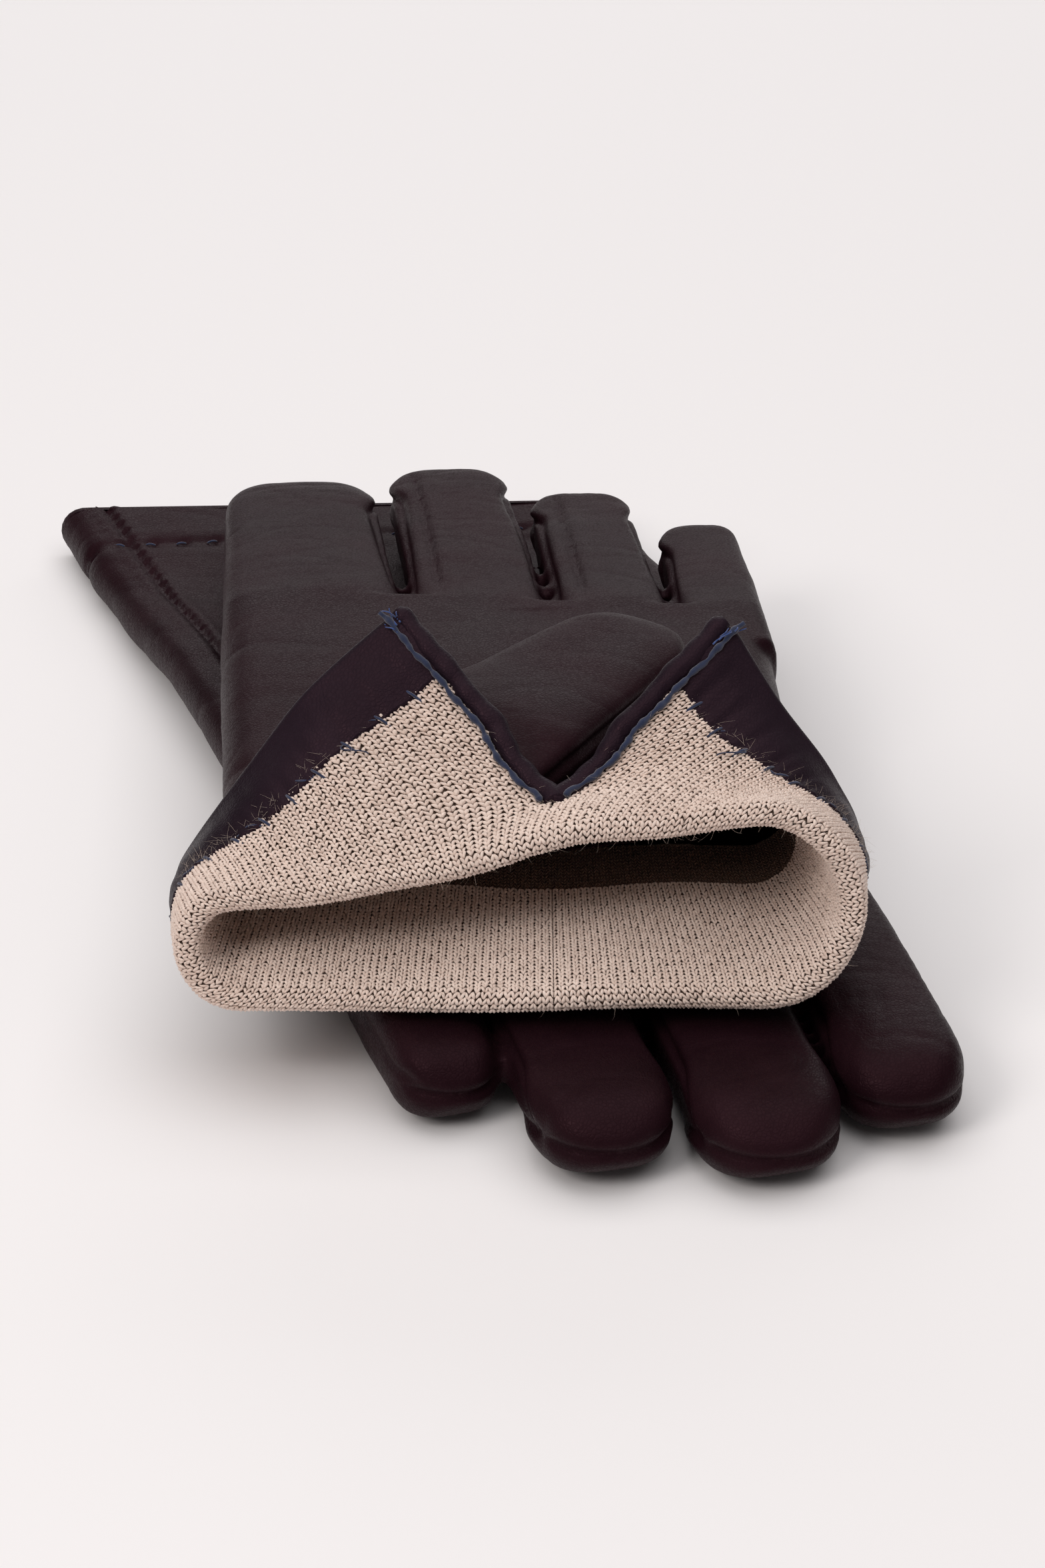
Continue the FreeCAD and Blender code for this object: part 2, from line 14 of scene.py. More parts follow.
import bmesh
import bpy
import numpy as np
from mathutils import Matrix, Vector

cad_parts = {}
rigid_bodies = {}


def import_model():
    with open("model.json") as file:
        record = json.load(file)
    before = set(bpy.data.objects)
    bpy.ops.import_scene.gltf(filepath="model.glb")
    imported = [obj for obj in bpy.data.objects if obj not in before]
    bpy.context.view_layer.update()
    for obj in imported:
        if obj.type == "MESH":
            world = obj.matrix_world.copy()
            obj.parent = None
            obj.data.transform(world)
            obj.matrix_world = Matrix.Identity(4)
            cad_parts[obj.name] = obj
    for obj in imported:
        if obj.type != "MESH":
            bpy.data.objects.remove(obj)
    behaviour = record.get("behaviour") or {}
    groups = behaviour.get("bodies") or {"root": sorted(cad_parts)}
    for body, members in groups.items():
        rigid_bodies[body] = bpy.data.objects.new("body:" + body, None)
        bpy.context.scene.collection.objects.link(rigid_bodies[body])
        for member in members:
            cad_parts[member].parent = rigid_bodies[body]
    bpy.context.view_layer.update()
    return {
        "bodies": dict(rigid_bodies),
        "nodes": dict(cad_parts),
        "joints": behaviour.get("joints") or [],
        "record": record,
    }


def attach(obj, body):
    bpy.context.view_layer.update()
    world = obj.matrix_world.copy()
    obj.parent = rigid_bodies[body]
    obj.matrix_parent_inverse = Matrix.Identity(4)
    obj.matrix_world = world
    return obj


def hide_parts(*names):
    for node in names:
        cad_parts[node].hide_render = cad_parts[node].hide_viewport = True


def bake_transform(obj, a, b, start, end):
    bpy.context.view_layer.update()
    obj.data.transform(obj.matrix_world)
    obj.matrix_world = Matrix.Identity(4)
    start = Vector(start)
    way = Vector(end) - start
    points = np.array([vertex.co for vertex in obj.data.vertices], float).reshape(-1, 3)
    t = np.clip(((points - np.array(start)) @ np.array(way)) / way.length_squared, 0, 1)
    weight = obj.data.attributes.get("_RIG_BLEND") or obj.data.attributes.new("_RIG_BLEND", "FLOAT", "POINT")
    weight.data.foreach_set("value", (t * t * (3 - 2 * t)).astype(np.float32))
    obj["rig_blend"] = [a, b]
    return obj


log = logging.getLogger("gloves")
Array = np.ndarray
FINGERS = ("index", "middle", "ring", "little")
MM = 0.001  # metres in a millimetre

# Sizes in millimetres.
TIP_FULLNESS = {"index": 2.2, "middle": 0.9}  # added to the width of a fingertip
TIP_SLACK = -0.35  # the same for the other fingertips, and for every root
WALE, COURSE = 1.36, 1.0  # pitch of the knit, across and along
HEM_DEPTH = 14.0  # from the right cuff's edge to its stitched line, and the left cuff's facing
RIGHT_STITCH = 6.2  # pitch of the stitches round the right hem
LEFT_STITCH = 6.5  # pitch of the stitches along the left facing
REST_GAP = 0.1  # least height of the leather above the floor it lies on
RAKE_HEIGHT = 20.0  # height at which a raked section keeps its place along the hand

CAMERA_AWAY, CAMERA_RISE = 0.817, 30.0  # metres from the pair, degrees above it


class Side(Enum):
    """Which glove of the pair, by the sign of its palm's upward direction."""

    LEFT = 1
    RIGHT = -1

    @property
    def word(self) -> str:
        """Name used in nodes and bodies."""
        return self.name.lower()


# ---------------------------------------------------------------- small maths


def turned(angle: float) -> Array:
    """Unit vector at an angle in degrees from +X, in the XY plane."""
    return np.array([math.cos(math.radians(angle)), math.sin(math.radians(angle)), 0.0])


def unit(v: Array) -> Array:
    """Vectors scaled to length one along the last axis."""
    return v / np.maximum(np.linalg.norm(v, axis=-1, keepdims=True), 1e-9)


def smooth(t: Array | float) -> Array | float:
    """Smooth step of a share that is clipped to 0..1."""
    t = np.clip(t, 0.0, 1.0)
    return t * t * (3 - 2 * t)


def bump(distance: Array, width: float) -> Array:
    """Bell curve of a distance, 1 at nothing."""
    return np.exp(-((distance / width) ** 2))


def lengths(path: Array) -> Array:
    """Distance along a polyline of each of its corners."""
    return np.concatenate([[0.0], np.cumsum(np.linalg.norm(np.diff(path, axis=0), axis=1))])


def resampled(path: Array, count: int) -> Array:
    """Points evenly spaced along a polyline.

    Args:
        path: corner points, one per row.
        count: number of points wanted.

    Returns:
        The new points, ends included.
    """
    length = lengths(path)
    want = np.linspace(0.0, length[-1], count)
    return np.stack([np.interp(want, length, path[:, k]) for k in range(3)], axis=1)


class Noise:
    """Seeded gradient noise that works on whole arrays of points."""

    def __init__(self, seed: int) -> None:
        """Shuffles the lattice for one seed."""
        rng = np.random.default_rng(seed)
        self.table = rng.permutation(256)
        self.slopes = unit(rng.normal(size=(256, 3)))

    def __call__(self, points: Array, size: float | Sequence[float]) -> Array:
        """Noise between about -1 and 1.

        Args:
            points: places, one per row.
            size: width of one cell, or one width per axis.

        Returns:
            One value per point.
        """
        p = points / np.asarray(size, float)
        cell = np.floor(p).astype(int)
        inside = p - cell
        fade = inside ** 3 * (inside * (inside * 6 - 15) + 10)
        total = np.zeros(len(p))
        for corner in np.ndindex(2, 2, 2):
            c = np.array(corner)
            ix, iy, iz = ((cell + c) % 256).T
            key = self.table[(self.table[(self.table[ix] + iy) % 256] + iz) % 256]
            weight = np.prod(np.where(c, fade, 1 - fade), axis=1)
            total += weight * np.sum(self.slopes[key] * (inside - c), axis=1)
        return total * 1.6

    def folds(self, points: Array, size: float | Sequence[float]) -> Array:
        """Sharp-crested noise, as creases in leather: 0 to 1, high at a crease."""
        return (1 - np.minimum(np.abs(self(points, size)) * 2.2, 1.0)) ** 3


# ---------------------------------------------------------------- pattern shared with the frame


@dataclass(frozen=True)
class Section:
    """One upright cross-section of a hand: the hull of two circles, each (across, height, radius)."""

    origin: tuple[float, float]
    heading: float
    index_side: tuple[float, float, float]
    little_side: tuple[float, float, float]
    rake: float = 0.0
    seam: float = 10.2

    def place(self, across: Array, height: Array) -> Array:
        """Points of the section from their places across it and their heights."""
        flat = np.array([*self.origin, 0.0]) + np.outer(across, turned(self.heading - 90))
        raked = np.outer(height - RAKE_HEIGHT, turned(self.heading) * self.rake)
        return flat + raked + np.outer(height, [0, 0, 1.0])

    def loop(self, grow: float, count: int) -> Array:
        """Points round the hull from the bottom, past the index side and over the top.

        Args:
            grow: distance that the hull is grown outwards.
            count: points in each half of the loop.

        Returns:
            2 * count + 1 points; the first and the last are the same place, at the bottom seam.
        """
        (x1, z1, r1), (x2, z2, r2) = self.index_side, self.little_side
        r1, r2 = r1 + grow, r2 + grow
        tilt = math.atan2(z2 - z1, x2 - x1)
        lean = math.acos((r1 - r2) / math.hypot(x2 - x1, z2 - z1))

        def arc(x: float, z: float, r: float, start: float, sweep: float) -> Array:
            """Points on one circle."""
            turns = start + sweep * np.linspace(0, 1, 25)
            return self.place(x + r * np.cos(turns), z + r * np.sin(turns))

        near = arc(x1, z1, r1, tilt - lean, -2 * (math.pi - lean))
        far = arc(x2, z2, r2, tilt + lean, -2 * lean)
        share = (self.seam - x1) / (x2 - x1)
        low = near[0] + (far[-1] - near[0]) * share
        top = near[-1] + (far[0] - near[-1]) * share
        first = resampled(np.vstack([low, near, top]), count + 1)
        second = resampled(np.vstack([top, far, low]), count + 1)
        return np.vstack([first, second[1:]])

    def middle(self, across: float) -> float:
        """Height of the line between the two centres."""
        (x1, z1, _), (x2, z2, _) = self.index_side, self.little_side
        return z1 + (z2 - z1) * (across - x1) / (x2 - x1)


@dataclass(frozen=True)
class Stall:
    """Pattern of one finger or thumb: sizes, and the place of its root."""

    name: str
    length: float
    root_width: float
    tip_width: float
    root: tuple[float, float, float] = (0.0, 0.0, 0.0)
    heading: float = 90.0
    dip: float = 0.0
    root_thick: float = 16.0
    tip_thick: float = 14.0
    drift: float = 0.0
    lift: float = 0.0
    behind: float = 14.0

    @property
    def axes(self) -> Array:
        """Local across, along and up directions as rows."""
        across = turned(self.heading - 90)
        tip = math.radians(self.dip)
        along = turned(self.heading) * math.cos(tip) - np.array([0, 0, math.sin(tip)])
        return np.stack([across, along, np.cross(across, along)])

    def world(self, local: Array) -> Array:
        """Pattern points from local ones (across, along, up)."""
        return np.asarray(self.root) + local @ self.axes

    def local(self, world: Array) -> Array:
        """Local points (across, along, up) from pattern ones."""
        return (world - np.asarray(self.root)) @ self.axes.T

    def halves(self, along: Array) -> tuple[Array, Array]:
        """Half the width and half the thickness at places along the stall."""
        share = np.clip(along / self.length, 0, 1)
        wide = (self.root_width + (self.tip_width - self.root_width) * share) / 2
        thick = (self.root_thick + (self.tip_thick - self.root_thick) * share) / 2
        nose = self.tip_width * 0.58
        t = np.clip((along - (self.length - nose)) / nose, 0, 1)
        thick = thick * (1 - 0.015 * np.maximum(-along, 0.0))
        return wide * np.sqrt(np.maximum(1 - t ** 2.3, 0.0)), thick * (1 - t ** 3.2) ** 0.62

    def bend(self, along: Array) -> tuple[Array, Array]:
        """Sideways and upward drift of the middle line."""
        share = np.clip(along / self.length, 0, 1)
        return self.drift * share ** 1.6, self.lift * share ** 2

    def tube(self, around: int = 48, rows: int = 44) -> "bmesh.types.BMesh":
        """Closed tube of the stall, reaching back into the hand."""
        power = 2 / 3.6  # exponent of the rounded box that a stall is in section

        def surface(u: Array, v: Array) -> Array:
            """Points of the stall's side."""
            reach = self.length + self.behind
            along = reach * (1 - (1 - v) ** 1.25) - self.behind
            along = np.minimum(along, self.length - 0.02)
            wide, thick = self.halves(along)
            side, up = self.bend(along)
            angle = 2 * math.pi * u
            x = np.sign(np.cos(angle)) * np.abs(np.cos(angle)) ** power * wide
            z = np.sign(np.sin(angle)) * np.abs(np.sin(angle)) ** power * thick
            return self.world(np.stack([x + side, along, z + up], axis=1))

        return grid(around, rows, surface, closed=True, capped=True)


class Pattern:
    """All sections and stalls of the pair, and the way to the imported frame."""

    floor = 0.5
    over_thumb = 6.6
    low = 19.6
    root_thick = 16.0
    room = 0.7
    left_span = 114.3
    right_span = 155.5
    left_turn = 9.4
    left_widths = {"index": (72.0, 34.2, 27.0), "middle": (81.0, 26.0, 23.0),
                   "ring": (71.0, 21.6, 20.5), "little": (52.0, 17.0, 16.2)}
    right_widths = {"index": (72.0, 22.5, 19.0), "middle": (80.0, 25.6, 23.6),
                    "ring": (73.0, 25.6, 23.6), "little": (51.0, 20.5, 17.5)}
    left_drift = {"index": (-0.3, 0.0), "middle": (-1.4, 0.6), "ring": (-0.4, -0.3), "little": (1.0, 0.2)}
    right_drift = {"index": (0.4, 0.3), "middle": (0.2, -0.2), "ring": (-0.4, 0.5), "little": (-3.0, 0.2)}

    def __init__(self, joints: Sequence[dict]) -> None:
        """Lays out the pair and finds its place in the frame from a finger's crease."""
        self.shift = np.zeros(3)
        crease = next(j for j in joints if j["name"] == "left_middle_curl")["pos_m"]
        stall = self.stalls(Side.LEFT)["middle"]
        ahead = turned(self.left_section(1.0).heading) * 0.25
        start = np.array(stall.root) + ahead + np.array([0.0, 0.0, self.root_thick / 2])
        self.shift = np.array(crease) / MM - start

    def to_frame(self, points: Array) -> Array:
        """Frame places, in metres, of pattern points."""
        return (np.asarray(points, float) + self.shift) * MM

    def piece(self, name: str, bm: "bmesh.types.BMesh", material: bpy.types.Material,
              places: Array | None = None) -> bpy.types.Object:
        """Object in the frame from a bmesh in pattern millimetres, which is freed.

        Args:
            name: the object's name.
            bm: its mesh.
            material: its finish.
            places: pattern places for its vertices, if they change.

        Returns:
            The object.
        """
        spots = corners(bm) if places is None else places
        return dress(to_object(name, bm, self.to_frame(spots)), material)

    def hinge(self, piece: bpy.types.Object, side: Side, stall: Stall, body: str,
              low: float, high: float) -> None:
        """Bends a piece from its hand into a finger or thumb, between two places along the stall."""
        start, end = (self.to_frame(stall.world(np.array([[0.0, y, 0.0]])))[0] for y in (low, high))
        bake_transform(piece, f"{side.word}_hand", f"{side.word}_{body}", start=tuple(start), end=tuple(end))

    def row(self, sizes: dict, turn: float) -> tuple[dict, float]:
        """Places of the fingers across the knuckles, and half the row's width."""
        widths = [sizes[name][1] / math.cos(math.radians(turn)) for name in FINGERS]
        half = (sum(widths) + self.room * 3) / 2
        edge, places = -half, {}
        for name, width in zip(FINGERS, widths):
            places[name] = edge + width / 2
            edge += width + self.room
        return places, half

    def left_section(self, share: float) -> Section:
        """Section of the left hand, 0 at the cuff's fold and 1 at the knuckles."""
        half = self.row(self.left_widths, self.left_turn)[1]
        keys = np.array([
            (-49.2, 1.2, 7.8, 58.8, 2.1, 13.6),
            (-47.0, 1.1, 8.0, 54.1, 1.3, 10.4),
            (-49.2, 0.8, 8.2, 52.0, 0.5, 9.2),
            (-half, 0.0, 8.0, half, 0.0, 8.0),
        ])
        k = self.eased(keys, share * 3)
        y = -105.5 + self.left_span * share
        rake = 0.3 * max(0.0, 1.0 - 2.0 * share)
        return Section((-5.2, y), 90 - 4.4 * share ** 2,
                       (k[0] + k[2], self.low + k[1] + k[2], k[2]),
                       (k[3] - k[5], self.low + k[4] + k[5], k[5]), rake)

    def right_section(self, share: float) -> Section:
        """Section of the right hand, 0 at the hem and 1 at the knuckles."""
        flat = 5.5
        keys = np.array([
            (57.0, self.floor + 0.1, 5.6, 2.0),
            (54.6, self.floor + 0.6, flat, 11.0),
            (53.0, self.over_thumb - 0.8, flat - 0.3, 16.0),
            (52.5, self.over_thumb + 0.2, flat - 0.2, 17.0),
            (52.0, self.over_thumb + 0.4, flat, 15.5),
            (self.row(self.right_widths, 0.0)[1], self.floor + 0.6, 8.0, 13.5),
        ])
        half, low, radius, lean = self.eased(keys, share * 5)
        start, stop = math.tan(math.radians(22.0)), math.tan(math.radians(13.5))
        slope = start + (stop - start) * share
        down = self.right_span * share
        across = half - radius
        origin = (-38.2 + down * (start + slope) / 2, 95.5 - down)
        return Section(origin, lean - 90,
                       (-across, low + radius, radius), (across, low + radius, radius), 0.0, 0.0)

    @staticmethod
    def eased(keys: Array, place: float) -> Array:
        """Row of values between key rows, on a curve that passes through them."""
        k = int(min(max(place, 0), len(keys) - 1.0001))
        t = place - k
        p1, p2 = keys[k], keys[k + 1]
        p0, p3 = keys[max(k - 1, 0)], keys[min(k + 2, len(keys) - 1)]
        m1, m2 = (p2 - p0) * 0.35, (p3 - p1) * 0.35
        t2, t3 = t * t, t * t * t
        from_here = p1 * (2 * t3 - 3 * t2 + 1) + m1 * (t3 - 2 * t2 + t)
        return from_here + p2 * (3 * t2 - 2 * t3) + m2 * (t3 - t2)

    def section(self, side: Side, share: float) -> Section:
        """Section of either hand at a share of its length from the cuff."""
        return self.left_section(share) if side is Side.LEFT else self.right_section(share)

    def stalls(self, side: Side) -> dict[str, Stall]:
        """The four fingers of a glove."""
        left = side is Side.LEFT
        sizes, drift = (self.left_widths, self.left_drift) if left else (self.right_widths, self.right_drift)
        knuckle = self.section(side, 1.0)
        made = {}
        turn, dip, tip_thick = (self.left_turn, 6.0, 10.5) if left else (0.0, 0.4, 14.0)
        for name, across in self.row(sizes, turn)[0].items():
            root = knuckle.place(np.array([across]), np.array([knuckle.middle(across)]))[0]
            length, wide, tip = sizes[name]
            made[name] = Stall(name, length, wide, tip, tuple(root), knuckle.heading + turn, dip,
                               self.root_thick, tip_thick, *drift[name])
        return made

    def thumb(self, side: Side) -> Stall:
        """The thumb of a glove, from the line it turns about."""
        if side is Side.LEFT:
            return Stall("thumb", 48.0, 27.0, 21.0, (-4.0, -61.0, 45.5), 54.5, 1.6, 10.6, 9.6, behind=17.0)
        return Stall("thumb", 48.0, 27.0, 21.0, (18.9, 9.0, 3.3), -113.0, 0.0, 5.6, 5.1, behind=17.0)


# ---------------------------------------------------------------- mesh work


def corners(bm: "bmesh.types.BMesh") -> Array:
    """Vertex places of a bmesh."""
    return np.array([v.co[:] for v in bm.verts])


def values(items: object, key: str) -> Array:
    """One vector from each item of a mesh's vertices, normals or faces."""
    flat = np.empty(len(items) * 3, np.float32)
    items.foreach_get(key, flat)
    return flat.reshape(-1, 3).astype(float)


def hang(obj: bpy.types.Object, body: str, slot: str, *nodes: str) -> None:
    """Fixes a piece to a body, and hides the nodes it stands for."""
    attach(obj, body)
    if nodes:
        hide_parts(*nodes)


def grid(across: int, along: int, surface: Callable[[Array, Array], Array],
         closed: bool = False, capped: bool = False) -> "bmesh.types.BMesh":
    """Grid laid onto a surface.

    Args:
        across: cells in u.
        along: cells in v.
        surface: takes u and v, each 0 to 1, and gives points.
        closed: weld u = 0 to u = 1.
        capped: fill the open ends.

    Returns:
        A new bmesh with normals out for a surface whose u runs anticlockwise seen along +v.
    """
    bm = bmesh.new()
    bmesh.ops.create_grid(bm, x_segments=across, y_segments=along, size=1.0, calc_uvs=False)
    flat = corners(bm)
    places = surface((flat[:, 0] + 1) / 2, (flat[:, 1] + 1) / 2)
    for vert, place in zip(bm.verts, places):
        vert.co = place
    if closed:
        bmesh.ops.remove_doubles(bm, verts=bm.verts[:], dist=0.004)
    if capped:
        bmesh.ops.holes_fill(bm, edges=[e for e in bm.edges if e.is_boundary], sides=0)
    return bm


def to_object(name: str, bm: "bmesh.types.BMesh", places: Array | None = None) -> bpy.types.Object:
    """New smooth-shaded object from a bmesh, which is freed.

    Args:
        name: the object's name.
        bm: its mesh.
        places: frame places for its vertices, in metres, if they change.

    Returns:
        The object, linked to the scene.
    """
    mesh = bpy.data.meshes.new(name)
    bm.to_mesh(mesh)
    bm.free()
    if places is not None:
        mesh.vertices.foreach_set("co", np.asarray(places, np.float32).ravel())
    mesh.shade_smooth()
    mesh.update()
    obj = bpy.data.objects.new(name, mesh)
    bpy.context.scene.collection.objects.link(obj)
    return obj


def fused(parts: Sequence["bmesh.types.BMesh"], voxel: float, passes: int) -> bpy.types.Mesh:
    """One skin round several closed forms, still in millimetres.

    Args:
        parts: closed forms, which are freed.
        voxel: size of the mesh's cells.
        passes: rounds of smoothing.

    Returns:
        The new mesh.
    """
    whole = bmesh.new()
    for part in parts:
        scrap = bpy.data.meshes.new("scrap")
        bmesh.ops.recalc_face_normals(part, faces=part.faces[:])
        part.to_mesh(scrap)
        part.free()
        whole.from_mesh(scrap)
        bpy.data.meshes.remove(scrap)
    obj = to_object("fusing", whole)
    remesh = obj.modifiers.new("skin", "REMESH")
    remesh.mode = "VOXEL"
    remesh.voxel_size = voxel
    bpy.context.view_layer.update()
    shape = obj.evaluated_get(bpy.context.evaluated_depsgraph_get())
    mesh = bpy.data.meshes.new_from_object(shape)
    bpy.data.objects.remove(obj)
    bm = bmesh.new()
    bm.from_mesh(mesh)
    for _ in range(passes):
        bmesh.ops.smooth_vert(bm, verts=bm.verts[:], factor=0.5,
                              use_axis_x=True, use_axis_y=True, use_axis_z=True)
    bm.to_mesh(mesh)
    bm.free()
    return mesh


def carved(mesh: bpy.types.Mesh, keep: Array, name: str) -> bpy.types.Object:
    """Part of a skin as its own object, shaded as if the skin were still whole.

    Args:
        mesh: the whole skin, in metres in the frame.
        keep: for each face, whether it stays.
        name: the new object's name.

    Returns:
        The object.
    """
    shading = values(mesh.vertex_normals, "vector")
    bm = bmesh.new()
    bm.from_mesh(mesh)
    layers = [bm.verts.layers.float.new(f"shade_{axis}") for axis in "xyz"]
    for vert, normal in zip(bm.verts, shading):
        for layer, value in zip(layers, normal):
            vert[layer] = value
    bm.faces.ensure_lookup_table()
    bmesh.ops.delete(bm, geom=[f for f, k in zip(bm.faces, keep) if not k], context="FACES")
    kept = [tuple(v[layer] for layer in layers) for v in bm.verts]
    for axis in "xyz":
        bm.verts.layers.float.remove(bm.verts.layers.float[f"shade_{axis}"])
    obj = to_object(name, bm)
    obj.data.normals_split_custom_set_from_vertices(kept)
    return obj


def tiled(bm: "bmesh.types.BMesh", count: int) -> "bmesh.types.BMesh":
    """Many copies of a small form in one bmesh, in order; the small one is freed."""
    mesh = bpy.data.meshes.new("tile")
    bm.to_mesh(mesh)
    bm.free()
    whole = bmesh.new()
    while count:
        if count & 1:
            whole.from_mesh(mesh)
        count >>= 1
        twice = bmesh.new()
        twice.from_mesh(mesh)
        twice.from_mesh(mesh)
        twice.to_mesh(mesh)
        twice.free()
    bpy.data.meshes.remove(mesh)
    return whole


def added(whole: "bmesh.types.BMesh", part: "bmesh.types.BMesh") -> None:
    """Moves a form into a larger bmesh."""
    mesh = bpy.data.meshes.new("part")
    part.to_mesh(mesh)
    part.free()
    whole.from_mesh(mesh)
    bpy.data.meshes.remove(mesh)


def swept(path: Array, radius: Callable[[Array], Array], sides: int) -> "bmesh.types.BMesh":
    """Closed round tube along a path.

    Args:
        path: points along the middle.
        radius: radius from the share of the way along.
        sides: corners round the tube.

    Returns:
        A new bmesh.
    """
    along = unit(np.gradient(path, axis=0))
    helper = np.array([0.31, 0.17, 0.93])
    first = unit(np.cross(along, helper))
    second = np.cross(along, first)
    last = len(path) - 1

    def surface(u: Array, v: Array) -> Array:
        """Points round the path."""
        k = np.round(v * last).astype(int)
        angle = 2 * math.pi * u
        size = np.broadcast_to(radius(v), v.shape)[:, None]
        return path[k] + size * (first[k] * np.cos(angle)[:, None] + second[k] * np.sin(angle)[:, None])

    bm = grid(sides, last, surface, closed=True, capped=True)
    bmesh.ops.recalc_face_normals(bm, faces=bm.faces[:])
    return bm


# ---------------------------------------------------------------- shader maths


class Socket:
    """A node socket that can be used in Python expressions."""

    def __init__(self, tree: bpy.types.NodeTree, out: object) -> None:
        """Wraps an output socket, or a plain number."""
        self.tree, self.out = tree, out

    def _math(self, kind: str, *values: object, swap: bool = False) -> "Socket":
        """Adds one Math node for an operation."""
        inputs = [self, *values]
        if swap:
            inputs.reverse()
        return Shader.add(self.tree, "ShaderNodeMath", {"operation": kind}, dict(enumerate(inputs)))

    def __add__(self, other: object) -> "Socket":
        """Sum."""
        return self._math("ADD", other)

    __radd__ = __add__

    def __sub__(self, other: object) -> "Socket":
        """Difference."""
        return self._math("SUBTRACT", other)

    def __rsub__(self, other: object) -> "Socket":
        """Difference from a plain number."""
        return self._math("SUBTRACT", other, swap=True)

    def __mul__(self, other: object) -> "Socket":
        """Product."""
        return self._math("MULTIPLY", other)

    __rmul__ = __mul__

    def clipped(self) -> "Socket":
        """The value kept between 0 and 1."""
        return Shader.add(self.tree, "ShaderNodeClamp", {}, {"Value": self})

    def stepped(self, low: float, high: float) -> "Socket":
        """0 below low, 1 above high, smooth in between."""
        inputs = {"Value": self, "From Min": low, "From Max": high}
        return Shader.add(self.tree, "ShaderNodeMapRange", {"interpolation_type": "SMOOTHSTEP"}, inputs)


class Shader:
    """Builds one material's nodes."""

    def __init__(self, name: str) -> None:
        """Starts a material with only its output."""
        self.material = bpy.data.materials.new(name)
        self.material.use_nodes = True
        self.tree = self.material.node_tree
        self.tree.nodes.clear()

    @staticmethod
    def add(tree: bpy.types.NodeTree, kind: str, settings: dict, inputs: dict, out: object = 0) -> Socket:
        """Adds a node.

        Args:
            tree: where it goes.
            kind: the node's type.
            settings: its properties, set first.
            inputs: values or links by socket name or number.
            out: which output to hand back.

        Returns:
            The output, ready for expressions.
        """
        node = tree.nodes.new(kind)
        for key, value in settings.items():
            setattr(node, key, value)
        for key, value in inputs.items():
            if isinstance(value, Socket):
                tree.links.new(value.out, node.inputs[key])
            else:
                node.inputs[key].default_value = value
        return Socket(tree, node.outputs[out] if node.outputs else None)

    def node(self, kind: str, settings: dict | None = None, out: object = 0, **inputs: object) -> Socket:
        """Adds a node with its sockets given by name, with _ for a space."""
        named = {key.replace("_", " "): value for key, value in inputs.items()}
        return self.add(self.tree, kind, settings or {}, named, out)

    def object_space(self) -> Socket:
        """Places on the object, in metres."""
        return self.node("ShaderNodeTexCoord", out="Object")

    def noise(self, place: Socket, scale: float, detail: float = 2.0, rough: float = 0.5) -> Socket:
        """Noise of a number of cells per metre."""
        return self.node("ShaderNodeTexNoise", {"noise_dimensions": "3D"}, Vector=place, Scale=scale,
                         Detail=detail, Roughness=rough)

    def mixed(self, share: object, first: object, second: object) -> Socket:
        """Colour between two, by a share."""
        return self.add(self.tree, "ShaderNodeMix", {"data_type": "RGBA"}, {0: share, 6: first, 7: second}, 2)

    def finish(self, settings: dict, height: Socket | None = None, depth: float = 0.0001,
               strength: float = 1.0) -> bpy.types.Material:
        """Ends the material with a Principled shader.

        Args:
            settings: its sockets by name.
            height: what its bump follows.
            depth: the bump's height in metres.
            strength: the bump's strength.

        Returns:
            The material.
        """
        if height is not None:
            normal = self.add(self.tree, "ShaderNodeBump", {},
                              {"Height": height, "Distance": depth, "Strength": strength})
            settings = {**settings, "Normal": normal}
        surface = self.add(self.tree, "ShaderNodeBsdfPrincipled", {}, settings)
        self.add(self.tree, "ShaderNodeOutputMaterial", {}, {"Surface": surface})
        return self.material


@dataclass(frozen=True)
class LeatherFinish:
    """Fine-grained glove leather with a soft sheen."""

    name: str
    dark: tuple[float, float, float]
    light: tuple[float, float, float]
    roughness: float = 0.36
    grain: float = 0.00006

    @staticmethod
    def cells(s: Shader, place: Socket, scale: float) -> Socket:
        """Distance to the edge of the nearest cell, of a number of cells per metre."""
        return s.node("ShaderNodeTexVoronoi", {"feature": "DISTANCE_TO_EDGE"}, out="Distance",
                      Vector=place, Scale=scale, Randomness=1.0)

    @staticmethod
    def moved(s: Shader, place: Socket) -> Socket:
        """Places shifted a little by noise, so that creases wander."""
        drift = s.node("ShaderNodeTexNoise", {}, out="Color", Vector=place, Scale=260.0)
        scaled = s.add(s.tree, "ShaderNodeVectorMath", {"operation": "SCALE"}, {0: drift, "Scale": 0.004})
        return s.add(s.tree, "ShaderNodeVectorMath", {"operation": "ADD"}, {0: place, 1: scaled})

    def make(self) -> bpy.types.Material:
        """Builds the material."""
        s = Shader(self.name)
        place = s.object_space()
        warp = s.noise(place, 900.0, 2.0)
        pores = self.cells(s, place, 1500.0).stepped(0.0, 0.22)
        lines = self.cells(s, self.moved(s, place), 330.0).stepped(0.0, 0.07)
        patches = s.noise(place, 45.0, 3.0).stepped(0.3, 0.7)
        tone = (patches * 0.55 + warp * 0.25 + pores * 0.2).clipped()
        colour = s.mixed(tone, (*self.dark, 1.0), (*self.light, 1.0))
        rough = self.roughness + (1.0 - pores) * 0.14 + patches * 0.07
        height = pores * 0.5 + lines * 0.35 + warp * 0.3
        return s.finish({"Base Color": colour, "Roughness": rough, "Specular IOR Level": 0.10,
                         "Specular Tint": (1.0, 0.52, 0.60, 1.0)}, height, self.grain, 0.8)


